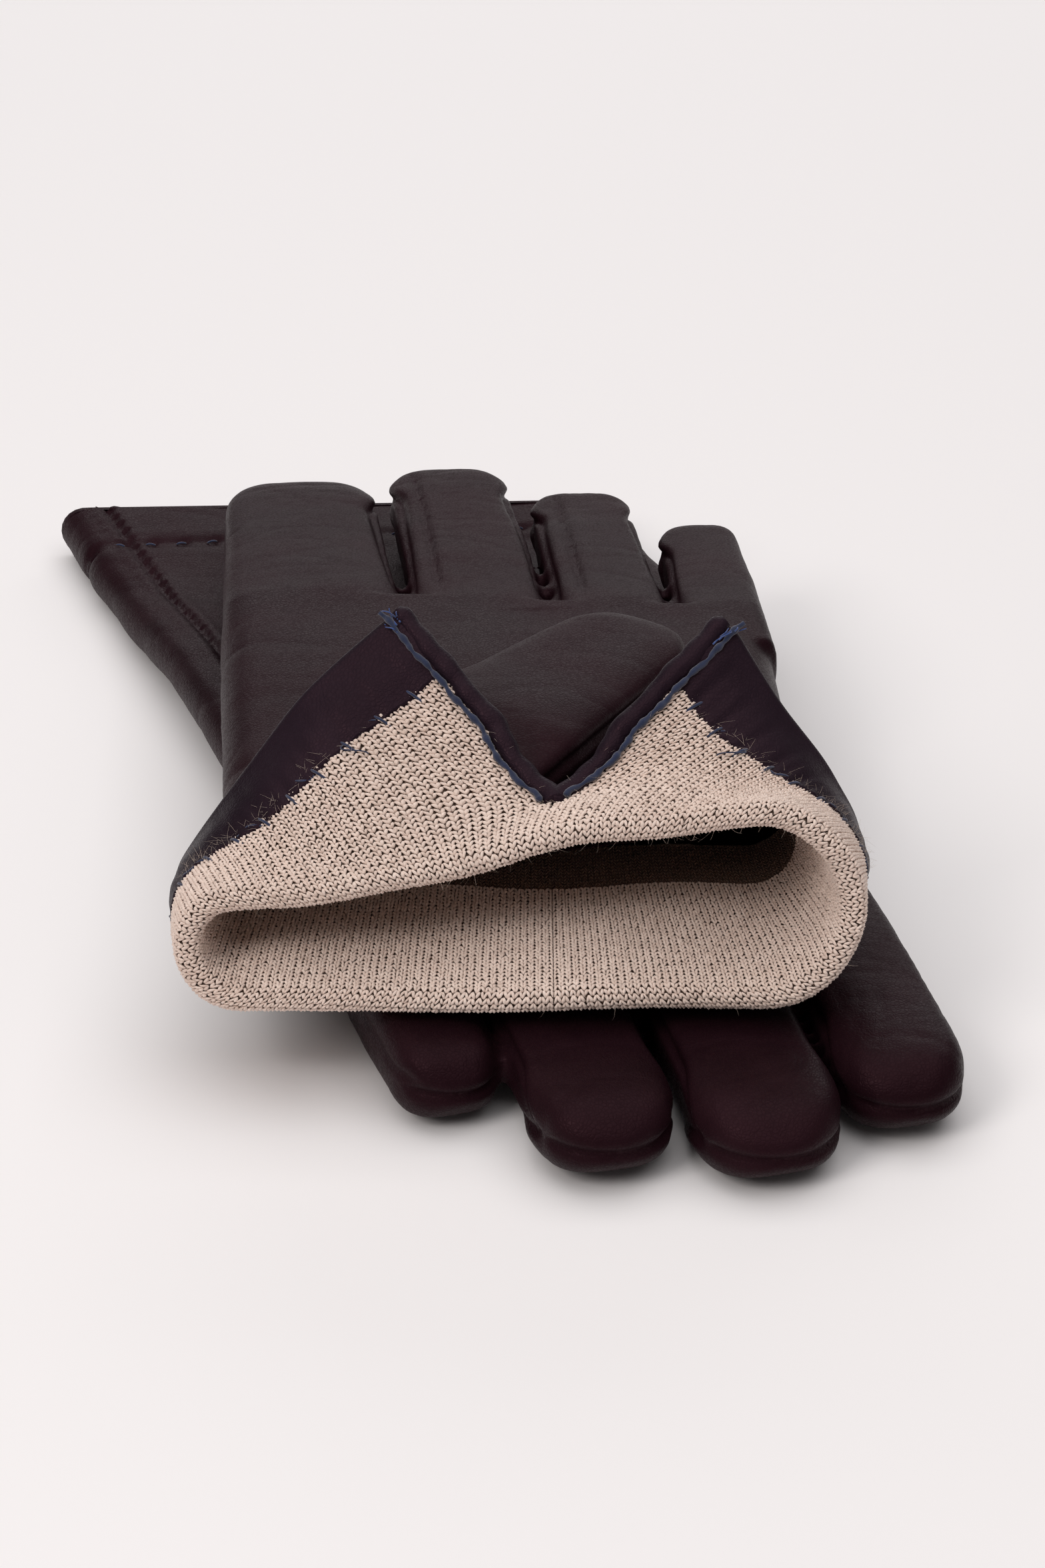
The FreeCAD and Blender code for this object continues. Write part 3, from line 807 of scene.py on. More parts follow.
@dataclass(frozen=True)
class YarnFinish:
    """Soft spun yarn, its colour varied by noise."""

    name: str
    deep: tuple[float, float, float]
    high: tuple[float, float, float]
    fibre: float = 3200.0
    depth: float = 0.00008

    def make(self) -> bpy.types.Material:
        """Builds the material."""
        s = Shader(self.name)
        place = s.object_space()
        fibre = s.noise(place, self.fibre, 3.0, 0.65)
        slub = s.noise(place, 620.0, 2.0)
        wide = s.noise(place, 38.0, 2.0)
        tone = (fibre * 0.7 + slub * 0.8 + wide * 0.4 - 0.45).clipped()
        colour = s.mixed(tone, (*self.deep, 1.0), (*self.high, 1.0))
        return s.finish({"Base Color": colour, "Roughness": 0.95, "Specular IOR Level": 0.15,
                         "Sheen Weight": 0.35, "Sheen Roughness": 0.6, "Sheen Tint": (1.0, 0.93, 0.88, 1.0)},
                        fibre, self.depth, 0.7)


@dataclass(frozen=True)
class KnitBackFinish:
    """The ground between stitches, coloured as painted shade and darkest in the gaps, drawn with the same
    wales and courses.
    """

    name: str
    # Both colours are painted shade: the darker one for the hollows between stitch legs, the lighter one for
    # shaded yarn under the stitches.
    gap: tuple[float, float, float]
    yarn: tuple[float, float, float]

    def make(self) -> bpy.types.Material:
        """Builds the material; the UV map holds millimetres across and along."""
        s = Shader(self.name)
        uv = s.node("ShaderNodeUVMap", {"uv_map": "knit"}, out="UV")
        u, v = (s.add(s.tree, "ShaderNodeSeparateXYZ", {}, {0: uv}, k) for k in (0, 1))
        column = s.add(s.tree, "ShaderNodeMath", {"operation": "PINGPONG"}, {0: u * (1.0 / WALE), 1: 0.5})
        slant = v * (1.0 / COURSE) - column * 1.5
        row = s.add(s.tree, "ShaderNodeMath", {"operation": "PINGPONG"}, {0: slant, 1: 0.5})
        legs = (row * 2.0).stepped(0.1, 0.8)
        ribs = (column * 2.0 * (1.0 - column * 2.0) * 4.0).clipped()
        height = legs * ribs
        fibre = s.noise(s.object_space(), 3000.0, 2.0)
        # Painted shade: the colour darkens where the stitch pattern is low, in the gaps between stitches.
        tone = (height * 0.8 + fibre * 0.3 - 0.1).clipped()
        colour = s.mixed(tone, (*self.gap, 1.0), (*self.yarn, 1.0))
        return s.finish({"Base Color": colour, "Roughness": 0.95, "Specular IOR Level": 0.12},
                        height, 0.0004, 1.0)


class Finishes:
    """Every material of the pair, made once."""

    def __init__(self) -> None:
        """Builds the materials."""
        self.leather = LeatherFinish("aubergine_leather", (0.0072, 0.0020, 0.0034),
                                     (0.0185, 0.0064, 0.0092)).make()
        # The hem leather is the glove's leather made lighter; the extra lightness is painted highlight on the
        # turned band and the rolls.
        self.hem = LeatherFinish("hem_leather", (0.0085, 0.0050, 0.0085),
                                 (0.021, 0.0125, 0.0185), 0.34).make()
        self.knit = YarnFinish("beige_yarn", (0.58, 0.425, 0.35), (1.0, 0.84, 0.75)).make()
        # The knit ground's colours are painted shade under and between the stitches.
        self.ground = KnitBackFinish("knit_ground", (0.17, 0.115, 0.088), (0.42, 0.30, 0.24)).make()
        self.thread = YarnFinish("navy_thread", (0.006, 0.010, 0.030),
                                 (0.018, 0.034, 0.10), 5200.0, 0.00005).make()
        self.bright = YarnFinish("blue_thread", (0.008, 0.030, 0.13),
                                 (0.03, 0.085, 0.30), 5200.0, 0.00005).make()
        self.edge = YarnFinish("blue_raw_edge", (0.006, 0.010, 0.028),
                               (0.015, 0.028, 0.080), 4000.0, 0.00008).make()
        self.fuzz = YarnFinish("loose_fibre", (0.5, 0.38, 0.30), (0.78, 0.64, 0.54)).make()


def dress(obj: bpy.types.Object, material: bpy.types.Material) -> bpy.types.Object:
    """Gives an object its material."""
    obj.data.materials.clear()
    obj.data.materials.append(material)
    return obj


# ---------------------------------------------------------------- leather


@dataclass
class Skin:
    """The outer leather of one glove, made whole and then cut at its knuckles."""

    pattern: Pattern
    side: Side
    finishes: Finishes
    voxel: float = 0.75
    groove: float = 0.95
    groove_width: float = 0.75
    fork_half: float = 4.6
    noise: Noise = field(default_factory=lambda: Noise(11))

    def hand_tube(self) -> "bmesh.types.BMesh":
        """Closed tube of the palm and back."""
        half = 60

        def surface(u: Array, v: Array) -> Array:
            """Points on the sections, from cuff to knuckles."""
            out = np.empty((len(u), 3))
            for row in np.unique(v):
                here = v == row
                loop = self.pattern.section(self.side, float(row)).loop(-0.25, half)
                out[here] = loop[np.round(u[here] * 2 * half).astype(int)]
            return out

        return grid(2 * half, 60, surface, closed=True, capped=True)

    def build(self) -> None:
        """Makes the hand's piece and one piece per finger."""
        narrowed = [replace(s, root_width=s.root_width + TIP_SLACK, root_thick=s.root_thick - 0.3,
                            tip_width=s.tip_width + TIP_FULLNESS.get(s.name, TIP_SLACK))
                    for s in self.pattern.stalls(self.side).values()]
        mesh = fused([self.hand_tube(), *[s.tube() for s in narrowed]], self.voxel, 4)
        points, out = values(mesh.vertices, "co"), values(mesh.vertex_normals, "vector")
        places = self.worked(points, out, narrowed)
        mesh.vertices.foreach_set("co", self.pattern.to_frame(places).astype(np.float32).ravel())
        mesh.update()
        self.cut(mesh, narrowed)

    def owner(self, points: Array, stalls: Sequence[Stall]) -> tuple[Array, list[Array]]:
        """Which finger each point belongs to, -1 for the hand, and its local places."""
        local = [s.local(points) for s in stalls]
        owner = np.full(len(points), -1)
        best = np.full(len(points), 1e9)
        for k, (stall, spot) in enumerate(zip(stalls, local)):
            side, _ = stall.bend(spot[:, 1])
            wide, _ = stall.halves(np.maximum(spot[:, 1], 0))
            off = np.abs(spot[:, 0] - side) - wide
            nearer = (spot[:, 1] > 0.0) & (off < best)
            owner[nearer] = k
            best[nearer] = off[nearer]
        return owner, local

    def worked(self, points: Array, out: Array, stalls: Sequence[Stall]) -> Array:
        """Skin points after seams, creases and soft unevenness."""
        owner, local = self.owner(points, stalls)
        push = self.noise(points, 36.0) * 0.6 + self.noise(points + 50, 16.0) * 0.16
        push += self.noise(points + 90, 6.0) * 0.05
        for k, stall in enumerate(stalls):
            mine = owner == k
            push[mine] += self.finger_work(stall, local[k][mine], points[mine])
        hand = owner == -1
        push[hand] += self.hand_work(points[hand])
        if self.side is Side.LEFT:
            covered = 1 - smooth((points[:, 1] + 78.0) / 10.0)
            push = push * (1 - 0.8 * covered) - 0.5 * covered
        points = points + out * push[:, None]
        if self.side is Side.RIGHT:
            points[:, 2] = np.maximum(points[:, 2], self.pattern.floor + REST_GAP)
        return points

    def finger_work(self, stall: Stall, spot: Array, world: Array) -> Array:
        """Push along the normal for one finger: seams, tip seam and creases."""
        side, up = stall.bend(spot[:, 1])
        x, y, z = spot[:, 0] - side, spot[:, 1], spot[:, 2] - up
        wide, _ = stall.halves(np.clip(y, 0, stall.length * 0.6))
        beside = smooth((np.abs(x) - wide * 0.55) / (wide * 0.3))
        nose = stall.length - stall.tip_width * 0.34
        start = smooth((y - 3.0) / 8.0)
        push = np.zeros(len(x))
        if self.side is Side.LEFT and stall.name in ("middle", "ring"):
            strip = smooth(z / 2.0) * start * (1 - smooth((y - nose + 2) / 5.0))
            push -= 0.75 * bump(x + wide - 5.4, 0.75) * strip
            push += 0.22 * bump(x + wide - 7.4, 1.4) * strip
        for way in (-1, 1):
            here = (np.sign(x) == way) * beside
            outer = (stall.name == "index" and way < 0) or (stall.name == "little" and way > 0)
            if not outer:
                fade = (1 - smooth((y - nose + 3) / 4.0)) * start
                half = self.fork_half * (1 - 0.9 * smooth((y - nose + 16) / 16.0))
                seams = bump(z - half, self.groove_width) + bump(z + half, self.groove_width)
                push -= self.groove * seams * here * fade
                push += 0.35 * bump(np.abs(z) - half - 1.8, 1.3) * here * fade
                push -= 0.5 * bump(z, half * 0.7) * here * fade
            elif stall.name == "little":
                line = 2.2 if self.side is Side.RIGHT else -2.2
                push -= 0.8 * self.groove * bump(z - line, self.groove_width) * here * start
        front = smooth((y - nose) / 3.0)
        tip_seam = bump(z - 0.3 * np.sin(x * 0.25), self.groove_width * 0.9)
        push -= self.groove * tip_seam * front
        push += 0.25 * bump(np.abs(z) - 2.0, 1.4) * front
        bow = world + np.stack([0.9 * np.abs(x), 0.12 * x * x, 0 * x], axis=1) * 0.2
        across = self.noise.folds(bow + 7, (30.0, 9.0, 14.0))
        fine = self.noise.folds(world + 31, (9.0, 2.6, 6.0))
        where = smooth(0.5 + 1.2 * self.noise(world + 13, 22.0))
        flat = 1 - beside * 0.5
        push -= (0.16 * across + 0.09 * fine * where) * flat * start * (1 - 0.6 * front)
        push -= 0.10 * self.noise.folds(world + 61, (5.0, 16.0, 7.0)) * where
        return push

    def hand_work(self, points: Array) -> Array:
        """Push along the normal for the palm and back."""
        turn = 4.0 if self.side is Side.LEFT else -17.0
        c, s = math.cos(math.radians(turn)), math.sin(math.radians(turn))
        rolled = points @ np.array([[c, -s, 0], [s, c, 0], [0, 0, 1.0]])
        push = -0.28 * self.noise.folds(rolled + 17, (64.0, 24.0, 30.0))
        where = smooth(0.4 + 1.1 * self.noise(rolled + 29, 30.0))
        push -= 0.10 * self.noise.folds(rolled + 41, (18.0, 7.0, 12.0)) * where
        push -= 0.06 * self.noise.folds(rolled + 71, (6.0, 8.0, 7.0)) * (1 - where)
        if self.side is Side.RIGHT:
            push += self.right_lines(points)
        return push

    def right_lines(self, points: Array) -> Array:
        """The side seam on the back and the stitched line at the hem of the right glove."""
        seam, hem, best = (np.full(len(points), far) for far in (99.0, 99.0, 1e9))
        for share in np.linspace(0, 1, 60):
            s = self.pattern.right_section(float(share))
            origin = np.array([*s.origin, 0.0])
            along = (points - origin) @ turned(s.heading)
            across = (points - origin) @ turned(s.heading - 90)
            nearer = np.abs(along) < best
            best[nearer] = np.abs(along)[nearer]
            edge = s.little_side[0] + s.little_side[2] - 9.5
            seam[nearer] = (across - edge)[nearer]
            hem[nearer] = (share * self.pattern.right_span + along)[nearer]
        top = points[:, 2] > 6.0
        push = np.where(top, -0.85 * bump(seam, 0.8) + 0.35 * bump(np.abs(seam) - 2.0, 1.2), 0.0)
        stitched = bump(hem - HEM_DEPTH, 1.0)
        dimple = 0.5 + 0.5 * np.cos(2 * math.pi * points[:, 0] / RIGHT_STITCH)
        push -= stitched * (0.25 + 0.65 * dimple ** 3)
        push += 0.25 * bump(hem - HEM_DEPTH + 3.0, 2.0) + 0.2 * bump(hem - HEM_DEPTH - 3.5, 2.2)
        return push

    def cut(self, mesh: bpy.types.Mesh, stalls: Sequence[Stall]) -> None:
        """Cuts the skin at the knuckles, and opens it at the cuff."""
        middle = values(mesh.polygons, "center") / MM - self.pattern.shift
        owner, _ = self.owner(middle, stalls)
        rim = self.pattern.section(self.side, 0.0)
        inward = (middle - np.array([*rim.origin, 0.0])) @ turned(rim.heading)
        inward -= rim.rake * (middle[:, 2] - RAKE_HEIGHT)
        open_end = inward < (1.2 if self.side is Side.LEFT else 0.7)
        word = self.side.word
        hand = dress(carved(mesh, (owner == -1) & ~open_end, f"{word}_hand_leather"), self.finishes.leather)
        hang(hand, f"{word}_hand", "outer_leather", f"{word}_palm_panel", f"{word}_back_panel")
        for k, stall in enumerate(stalls):
            stem = f"{word}_{stall.name}"
            piece = dress(carved(mesh, owner == k, f"{stem}_finger_leather"), self.finishes.leather)
            self.pattern.hinge(piece, self.side, stall, f"{stall.name}_finger", -0.5, 14.0)
            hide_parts(*[f"{stem}_{node}" for node in ("palm", "back", "fourchettes", "lining")])
        bpy.data.meshes.remove(mesh)


@dataclass
class Thumb:
    """A thumb with its gusset, sewn into the palm."""

    pattern: Pattern
    side: Side
    finishes: Finishes
    noise: Noise = field(default_factory=lambda: Noise(23))

    def build(self) -> None:
        """Makes the thumb's skin, bending from the palm."""
        stall = self.pattern.thumb(self.side)
        if self.side is Side.LEFT:
            stall = replace(stall, root_width=33.0, tip_width=22.5, root_thick=12.0)
        mesh = fused([stall.tube(56, 50)], 0.7, 3)
        points, out = values(mesh.vertices, "co"), values(mesh.vertex_normals, "vector")
        x, y, z = stall.local(points).T
        wide, _ = stall.halves(np.clip(y, 0, 30))
        beside = smooth((np.abs(x) - wide * 0.72) / (wide * 0.2))
        push = self.noise(points, 26.0) * 0.45 + self.noise(points + 40, 9.0) * 0.1
        push -= 0.12 * self.noise.folds(points + 5, (11.0, 14.0, 12.0)) * smooth((8 - y) / 20)
        push -= 0.09 * self.noise.folds(points + 77, (16.0, 7.0, 10.0))
        line = 1.0 if self.side is Side.LEFT else 0.0
        push -= 0.7 * bump(z - line, 0.75) * beside
        push += 0.22 * bump(np.abs(z - line) - 1.9, 1.2) * beside
        nose = stall.length - stall.tip_width * 0.3
        push -= 0.55 * bump(z - line, 0.75) * smooth((y - nose) / 3)
        points = points + out * push[:, None]
        root = smooth(-y / 15.0)
        points -= stall.axes[2] * (root * 1.5)[:, None] * self.side.value
        if self.side is Side.RIGHT:
            points[:, 2] = np.maximum(points[:, 2], self.pattern.floor + 0.05)
        mesh.vertices.foreach_set("co", self.pattern.to_frame(points).astype(np.float32).ravel())
        mesh.update()
        word = self.side.word
        whole = np.full(len(mesh.polygons), True)
        piece = dress(carved(mesh, whole, f"{word}_thumb_skin"), self.finishes.leather)
        bpy.data.meshes.remove(mesh)
        self.pattern.hinge(piece, self.side, stall, "thumb", -1.0, 13.0)
        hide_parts(*[f"{word}_thumb_{node}" for node in ("leather", "lining", "gusset")])


# ---------------------------------------------------------------- turned-back cuff


class Cloth:
    """A curved sheet known on a table, with millimetres across and along it."""

    def __init__(self, columns: Sequence[Array], starts: Sequence[float], sign: int,
                 low: float, step: float = 0.5) -> None:
        """Measures the sheet.

        Args:
            columns: one path per millimetre across, from the inside to the hem.
            starts: how far along each path its zero lies.
            sign: 1 or -1, which side of the sheet shows.
            low: the first place along, negative on the inside.
            step: spacing of the table along.
        """
        self.low, self.step = low, step
        runs, rows = [lengths(path) for path in columns], []
        self.ends = np.array([run[-1] - start for run, start in zip(runs, starts)])
        places = np.arange(low, max(0.0, *self.ends) + 4.0, step)
        for path, start, length in zip(columns, starts, runs):
            on = np.clip(places + start, 0.0, length[-1])
            row = np.stack([np.interp(on, length, path[:, a]) for a in range(3)], axis=1)
            past = (places + start - length[-1]).clip(0.0)
            rows.append(row + past[:, None] * unit(path[-1] - path[-4]))
        self.table = np.array(rows)
        self.ends = np.convolve(np.pad(self.ends, 3, "edge"), np.ones(7) / 7, "valid")
        across = np.gradient(self.table, axis=0)
        along = np.gradient(self.table, axis=1)
        self.out = unit(np.cross(across, along)) * sign

    @property
    def width(self) -> float:
        """Millimetres across the whole sheet."""
        return len(self.table) - 1.0

    def end(self, s: Array) -> Array:
        """Place of the hem along the sheet."""
        return np.interp(s, np.arange(len(self.ends)), self.ends)

    def __call__(self, s: Array, t: Array, lift: Array | float = 0.0) -> Array:
        """Points on the sheet or lifted off it.

        Args:
            s: millimetres across, from the vent's edge.
            t: millimetres along, from the start of the fold.
            lift: distance off the side that shows.

        Returns:
            Pattern places.
        """
        x = np.clip(s, 0.0, self.width - 1e-3)
        y = np.clip((t - self.low) / self.step, 0.0, self.table.shape[1] - 1.001)
        i, j = x.astype(int), y.astype(int)
        fx, fy = (x - i)[..., None], (y - j)[..., None]

        def mix(table: Array) -> Array:
            """The table's value between its four nearest entries."""
            near = table[i, j] * (1 - fy) + table[i, j + 1] * fy
            far = table[i + 1, j] * (1 - fy) + table[i + 1, j + 1] * fy
            return near * (1 - fx) + far * fx

        over = (s - np.clip(s, 0.0, self.width))[..., None]
        edge = self.table[1, j] - self.table[0, j]
        return mix(self.table) + mix(self.out) * np.asarray(lift)[..., None] + over * unit(edge)


@dataclass
class CuffHalf:
    """One half of the turned-back cuff, from the vent's edge round to the bottom of the wrist."""

    pattern: Pattern
    name: str
    hem_keys: Sequence[tuple[float, float, float, float]]
    finishes: Finishes
    turn: float = 6.0  # along the cloth, where the fold ends
    deep: float = 44.0  # how far the lining shows inside
    band: float = HEM_DEPTH
    flap: float = 57.0  # across the cloth, where the flap ends
    apex: Array = field(default_factory=lambda: np.array([5.6, -87.0, 46.5]))

    @property
    def way(self) -> int:
        """-1 for the half on the index side, 1 on the little side."""
        return -1 if self.name == "index" else 1

    def stem(self, moving: bool) -> str:
        """Start of a piece's name, on the flap or on the fixed part of the cuff."""
        return f"left_{'flap' if moving else 'cuff'}_{self.name}"

    @staticmethod
    def eased_path(path: Array) -> Array:
        """A path with its bends rounded and its ends kept."""
        soft = path.copy()
        for _ in range(5):
            soft[1:-1] = (soft[:-2] + soft[1:-1] * 2 + soft[2:]) / 4
        return soft

    def half_loop(self, share: float, grow: float, count: int) -> Array:
        """Points round this half of a section, from the top."""
        loop = self.pattern.left_section(share).loop(grow, count)
        return loop[:count + 1][::-1] if self.way < 0 else loop[count:]

    def cloth(self) -> Cloth:
        """Lays out the sheet."""
        outline = self.half_loop(0.0, 2.4, 400)
        width = int(np.linalg.norm(np.diff(outline, axis=0), axis=1).sum())
        outer, inner = self.half_loop(0.0, 2.3, width), self.half_loop(0.0, -1.3, width)
        depths = np.linspace(self.deep, 3.0, 12)
        deeper = [self.half_loop(d / self.pattern.left_span, -1.4 - d / 30, width) for d in depths]
        hem = self.hem_line(width)
        columns, starts = [], []
        for k in range(width + 1):
            inside = np.array([row[k] for row in deeper])
            away = self.apex - outer[0]
            path = self.sagged(np.vstack([inside, *self.turned_back(k, inner[k], outer[k], hem[k], away)]))
            columns.append(path)
            starts.append(lengths(path)[len(inside)])
        return Cloth(columns, starts, self.way, -self.deep)

    def hem_line(self, width: int) -> Array:
        """The hem's place at each millimetre across, through softened key points."""
        keys = np.array([k if k[0] >= 0 else (width, *k[1:]) for k in self.hem_keys])
        places = np.arange(width + 1.0)
        window = np.hanning(15)[1:-1] / np.hanning(15).sum()
        hem = [np.interp(places, keys[:, 0], keys[:, 1 + a]) for a in range(3)]
        padded = [np.pad(line, 6, "reflect", reflect_type="odd") for line in hem]
        return np.stack([np.convolve(line, window, "valid") for line in padded], axis=1)

    def turned_back(self, k: int, a: Array, b: Array, h: Array, away: Array) -> tuple[Array, Array]:
        """One path round the fold and on to the hem.

        Args:
            k: millimetres across the sheet.
            a: the rim's inner place.
            b: its outer place.
            h: the hem's place.
            away: from the rim to the vent's lowest point, beside the vent.

        Returns:
            The part round the fold and the part outside it.
        """
        wave = 0.5 * math.sin(k * 0.16 + self.way) + 0.3 * math.sin(k * 0.41)
        centre, radius = (a + b) / 2, np.linalg.norm(b - a) / 2
        out, front = unit(b - a), np.array([0.0, -1.0, 0.0])
        front = unit(front - out * front.dot(out))
        near = smooth(k / 26.0)
        via = (b + away) * (1 - near) + (b + (h - b) * 0.3) * near
        lean = math.atan2((via - centre).dot(out), -(via - centre).dot(front))
        stop = math.pi - min(max(lean - 0.08, 0.0), 1.3)
        turns = np.linspace(0, stop, 14)[:, None]
        fold = centre + front * (0.25 * wave * np.sin(turns)) - out * radius * np.cos(turns) \
            + front * radius * np.sin(turns)
        bow = np.linspace(0, 1, 24)[1:, None]
        start = fold[-1]
        first = start + (via - start) * np.minimum(bow * 3, 1)
        last = (h - via) * np.maximum(bow * 1.5 - 0.5, 0)
        return fold, self.eased_path(first + last + out * np.sin(math.pi * bow) * 0.8 * near)

    @staticmethod
    def sagged(path: Array) -> Array:
        """A path with the soft waves of the mouth's rim added near the front."""
        x, y, z = path.T
        rim = 1 - smooth((y + 97.0) / 14.0)
        top = smooth((z - 30.0) / 8.0)
        rise = 2.0 * bump(x - 22.0, 20.0) - 1.3 * bump(x + 26.0, 16.0) + 0.5 * np.sin(x * 0.21)
        reach = 1.6 * bump(x - 4.0, 30.0) + 0.7 * np.sin(x * 0.13 + 1)
        low = 0.6 * np.sin(x * 0.12 + 0.6) + 0.5
        moved = path.copy()
        moved[:, 1] += rim * (top * 0.8 * reach - (1 - top) * reach)
        moved[:, 2] += rim * (top * rise + (1 - top) * low)
        return moved

    def sheet(self, cloth: Cloth, name: str, s: tuple[float, float],
              laid: Callable[[Array, Array], tuple[Array, Array | float]], cells: tuple[int, int],
              material: bpy.types.Material) -> bpy.types.Object:
        """A piece laid on the cloth, with a UV map in millimetres.

        Args:
            cloth: the sheet that it follows.
            name: the object's name.
            s: first and last place across.
            laid: place along and lift, from the place across and a share of the way along.
            cells: cells across and along.
            material: its finish.

        Returns:
            The piece.
        """
        keep: dict[str, Array] = {}

        def surface(u: Array, v: Array) -> Array:
            """Points of the piece, whose places on the cloth are kept."""
            x = s[0] + (s[1] - s[0]) * u
            t, lift = laid(x, v)
            keep["spots"] = np.stack([x, t], axis=1)
            return cloth(x, t, lift + 0 * x)

        bm = grid(cells[0], cells[1], surface)
        if self.way > 0:
            bmesh.ops.reverse_faces(bm, faces=bm.faces[:])
        layer = bm.loops.layers.uv.new("knit")
        bm.verts.index_update()
        for face in bm.faces:
            for loop in face.loops:
                loop[layer].uv = keep["spots"][loop.vert.index]
        return self.pattern.piece(name, bm, material)

    def settle(self, obj: bpy.types.Object, moving: bool, nodes: Sequence[str] = ()) -> None:
        """Rides a piece on the hand, or bends it from the hand into the flap."""
        if moving:
            x = self.way
            start, end = self.pattern.to_frame([[52.0 * x, -90.0, 31.0], [42.0 * x, -82.0, 47.0]])
            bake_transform(obj, "left_hand", f"left_flap_{self.name}", start=tuple(start), end=tuple(end))
        else:
            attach(obj, "left_hand")
        if nodes:
            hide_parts(*nodes)

    def grounds(self, cloth: Cloth) -> None:
        """The sheets under the stitches, coloured dark as painted shade between them."""
        def inner(s: Array, v: Array) -> tuple[Array, float]:
            """From deep inside to the fold."""
            return -self.deep + (self.deep + self.turn * 0.5) * v, -0.24

        def outer(s: Array, v: Array) -> tuple[Array, float]:
            """From the fold to just short of the hem."""
            first = self.turn * 0.45
            return first + (cloth.end(s) - 1.5 - first) * v, -0.24

        fixed = ("left_cuff_lining", "left_cuff_roll", "left_hand_lining")
        wing = (f"left_flap_{self.name}_lining",)
        for word, span, laid, cells, moving, nodes in (
                ("_in", (0.0, cloth.width), inner, (110, 60), False, fixed),
                ("_out", (self.flap, cloth.width), outer, (60, 30), False, fixed),
                ("", (0.0, self.flap), outer, (50, 40), True, wing)):
            name = f"{self.stem(moving)}_ground{word}"
            obj = self.sheet(cloth, name, span, laid, cells, self.finishes.ground)
            self.settle(obj, moving, nodes)

    def stitches(self, cloth: Cloth) -> None:
        """Every knitted V on the parts that show."""
        wales = round(cloth.width / WALE)
        wale = cloth.width / wales
        rng = np.random.default_rng(5 + self.way)
        columns = (np.arange(wales) + 0.5) * wale
        rows = np.arange(-30.0, 60.0, COURSE)
        s, t = (a.ravel() for a in np.meshgrid(columns, rows))
        s, t = np.repeat(s, 2), np.repeat(t, 2)
        hand = np.tile([-1.0, 1.0], len(s) // 2)
        keep = t < cloth.end(s) - self.band + 1.5
        s, t, hand = s[keep], t[keep], hand[keep]
        s = s + hand * wale * 0.245
        groups = {"in": (t < self.turn * 0.5, False),
                  "out": ((t >= self.turn * 0.5) & (s >= self.flap), False),
                  "wing": ((t >= self.turn * 0.5) & (s < self.flap), True)}
        for word, (mine, moving) in groups.items():
            name = f"{self.stem(moving)}_stitches_{word}"
            self.settle(self.legs(cloth, name, s[mine], t[mine], hand[mine], rng), moving)

    def legs(self, cloth: Cloth, name: str, s: Array, t: Array, hand: Array,
             rng: np.random.Generator) -> bpy.types.Object:
        """Half-stitches at places on the cloth, leaning left or right."""
        leg = bmesh.new()
        bmesh.ops.create_uvsphere(leg, u_segments=5, v_segments=4, radius=0.5)
        shape = corners(leg)[None]
        one_each = (len(s), 1)
        bm = tiled(leg, len(s))
        length = 1.55 * rng.normal(1, 0.06, one_each)
        thick = 0.59 * rng.normal(1, 0.09, one_each)
        lean = hand[:, None] * np.radians(27 + rng.normal(0, 4.0, one_each))
        a, b = shape[..., 0] * thick, shape[..., 2] * length
        arch = shape[..., 1] * 0.6 + 0.34 - 0.42 * (shape[..., 2] * 2) ** 2
        x = s[:, None] + a * np.cos(lean) + b * np.sin(lean) + rng.normal(0, 0.05, one_each)
        y = t[:, None] - a * np.sin(lean) + b * np.cos(lean) + rng.normal(0, 0.05, one_each)
        z = arch + rng.normal(0, 0.05, one_each) + 0 * a
        return self.pattern.piece(name, bm, self.finishes.knit, cloth(x.ravel(), y.ravel(), z.ravel()))

    def hem_path(self, cloth: Cloth, s: Array, v: Array) -> tuple[Array, Array]:
        """Place and lift on the way under the leather, round the hem and over its facing."""
        under, over, edge = -2.2, 0.75, cloth.end(s)
        middle, radius = (under + over) / 2, (over - under) / 2
        first, second = 0.5, 0.6
        start = self.turn * 0.8
        near = start + (edge - radius - start) * np.clip(v / first, 0, 1)
        angle = math.pi * np.clip((v - first) / (second - first), 0, 1)
        back = np.clip((v - second) / (1 - second), 0, 1)
        wobble = 0.3 * np.sin(s * 0.21) + 0.15 * np.sin(s * 0.97 + 1)
        t = near + radius * np.sin(angle) - (self.band - radius + wobble) * back
        pucker = 0.5 + 0.5 * np.cos(2 * math.pi * s / LEFT_STITCH)
        close = smooth((back - 0.55) / 0.45)
        lift = middle - radius * np.cos(angle) - close * 0.3 * pucker ** 2
        lift = lift + 0.45 * np.sin(math.pi * back) ** 2 * (0.8 + 0.4 * (1 - pucker))
        lift = lift - 1.1 * smooth((back - 0.96) / 0.04) + 0.08 * np.sin(s * 1.9) * back
        return t, lift

    def leathers(self, cloth: Cloth) -> None:
        """The leather that lies below the knit and folds over it at the hem."""
        for span, moving, across in (((0.0, self.flap), True, 116), ((self.flap, cloth.width), False, 170)):
            obj = self.sheet(cloth, f"{self.stem(moving)}_hem", span,
                             lambda s, v: self.hem_path(cloth, s, v), (across, 110), self.finishes.hem)
            stem = f"{self.stem(True)}_" if moving else "left_cuff_"
            self.settle(obj, moving, (stem + "leather", stem + "facing"))

    def tube(self, word: str, path: Array, radius: Callable[[Array], Array], sides: int,
             material: bpy.types.Material) -> bpy.types.Object:
        """A round cord on the flap, along a path of pattern points."""
        return self.pattern.piece(f"{self.stem(True)}_{word}", swept(path, radius, sides), material)

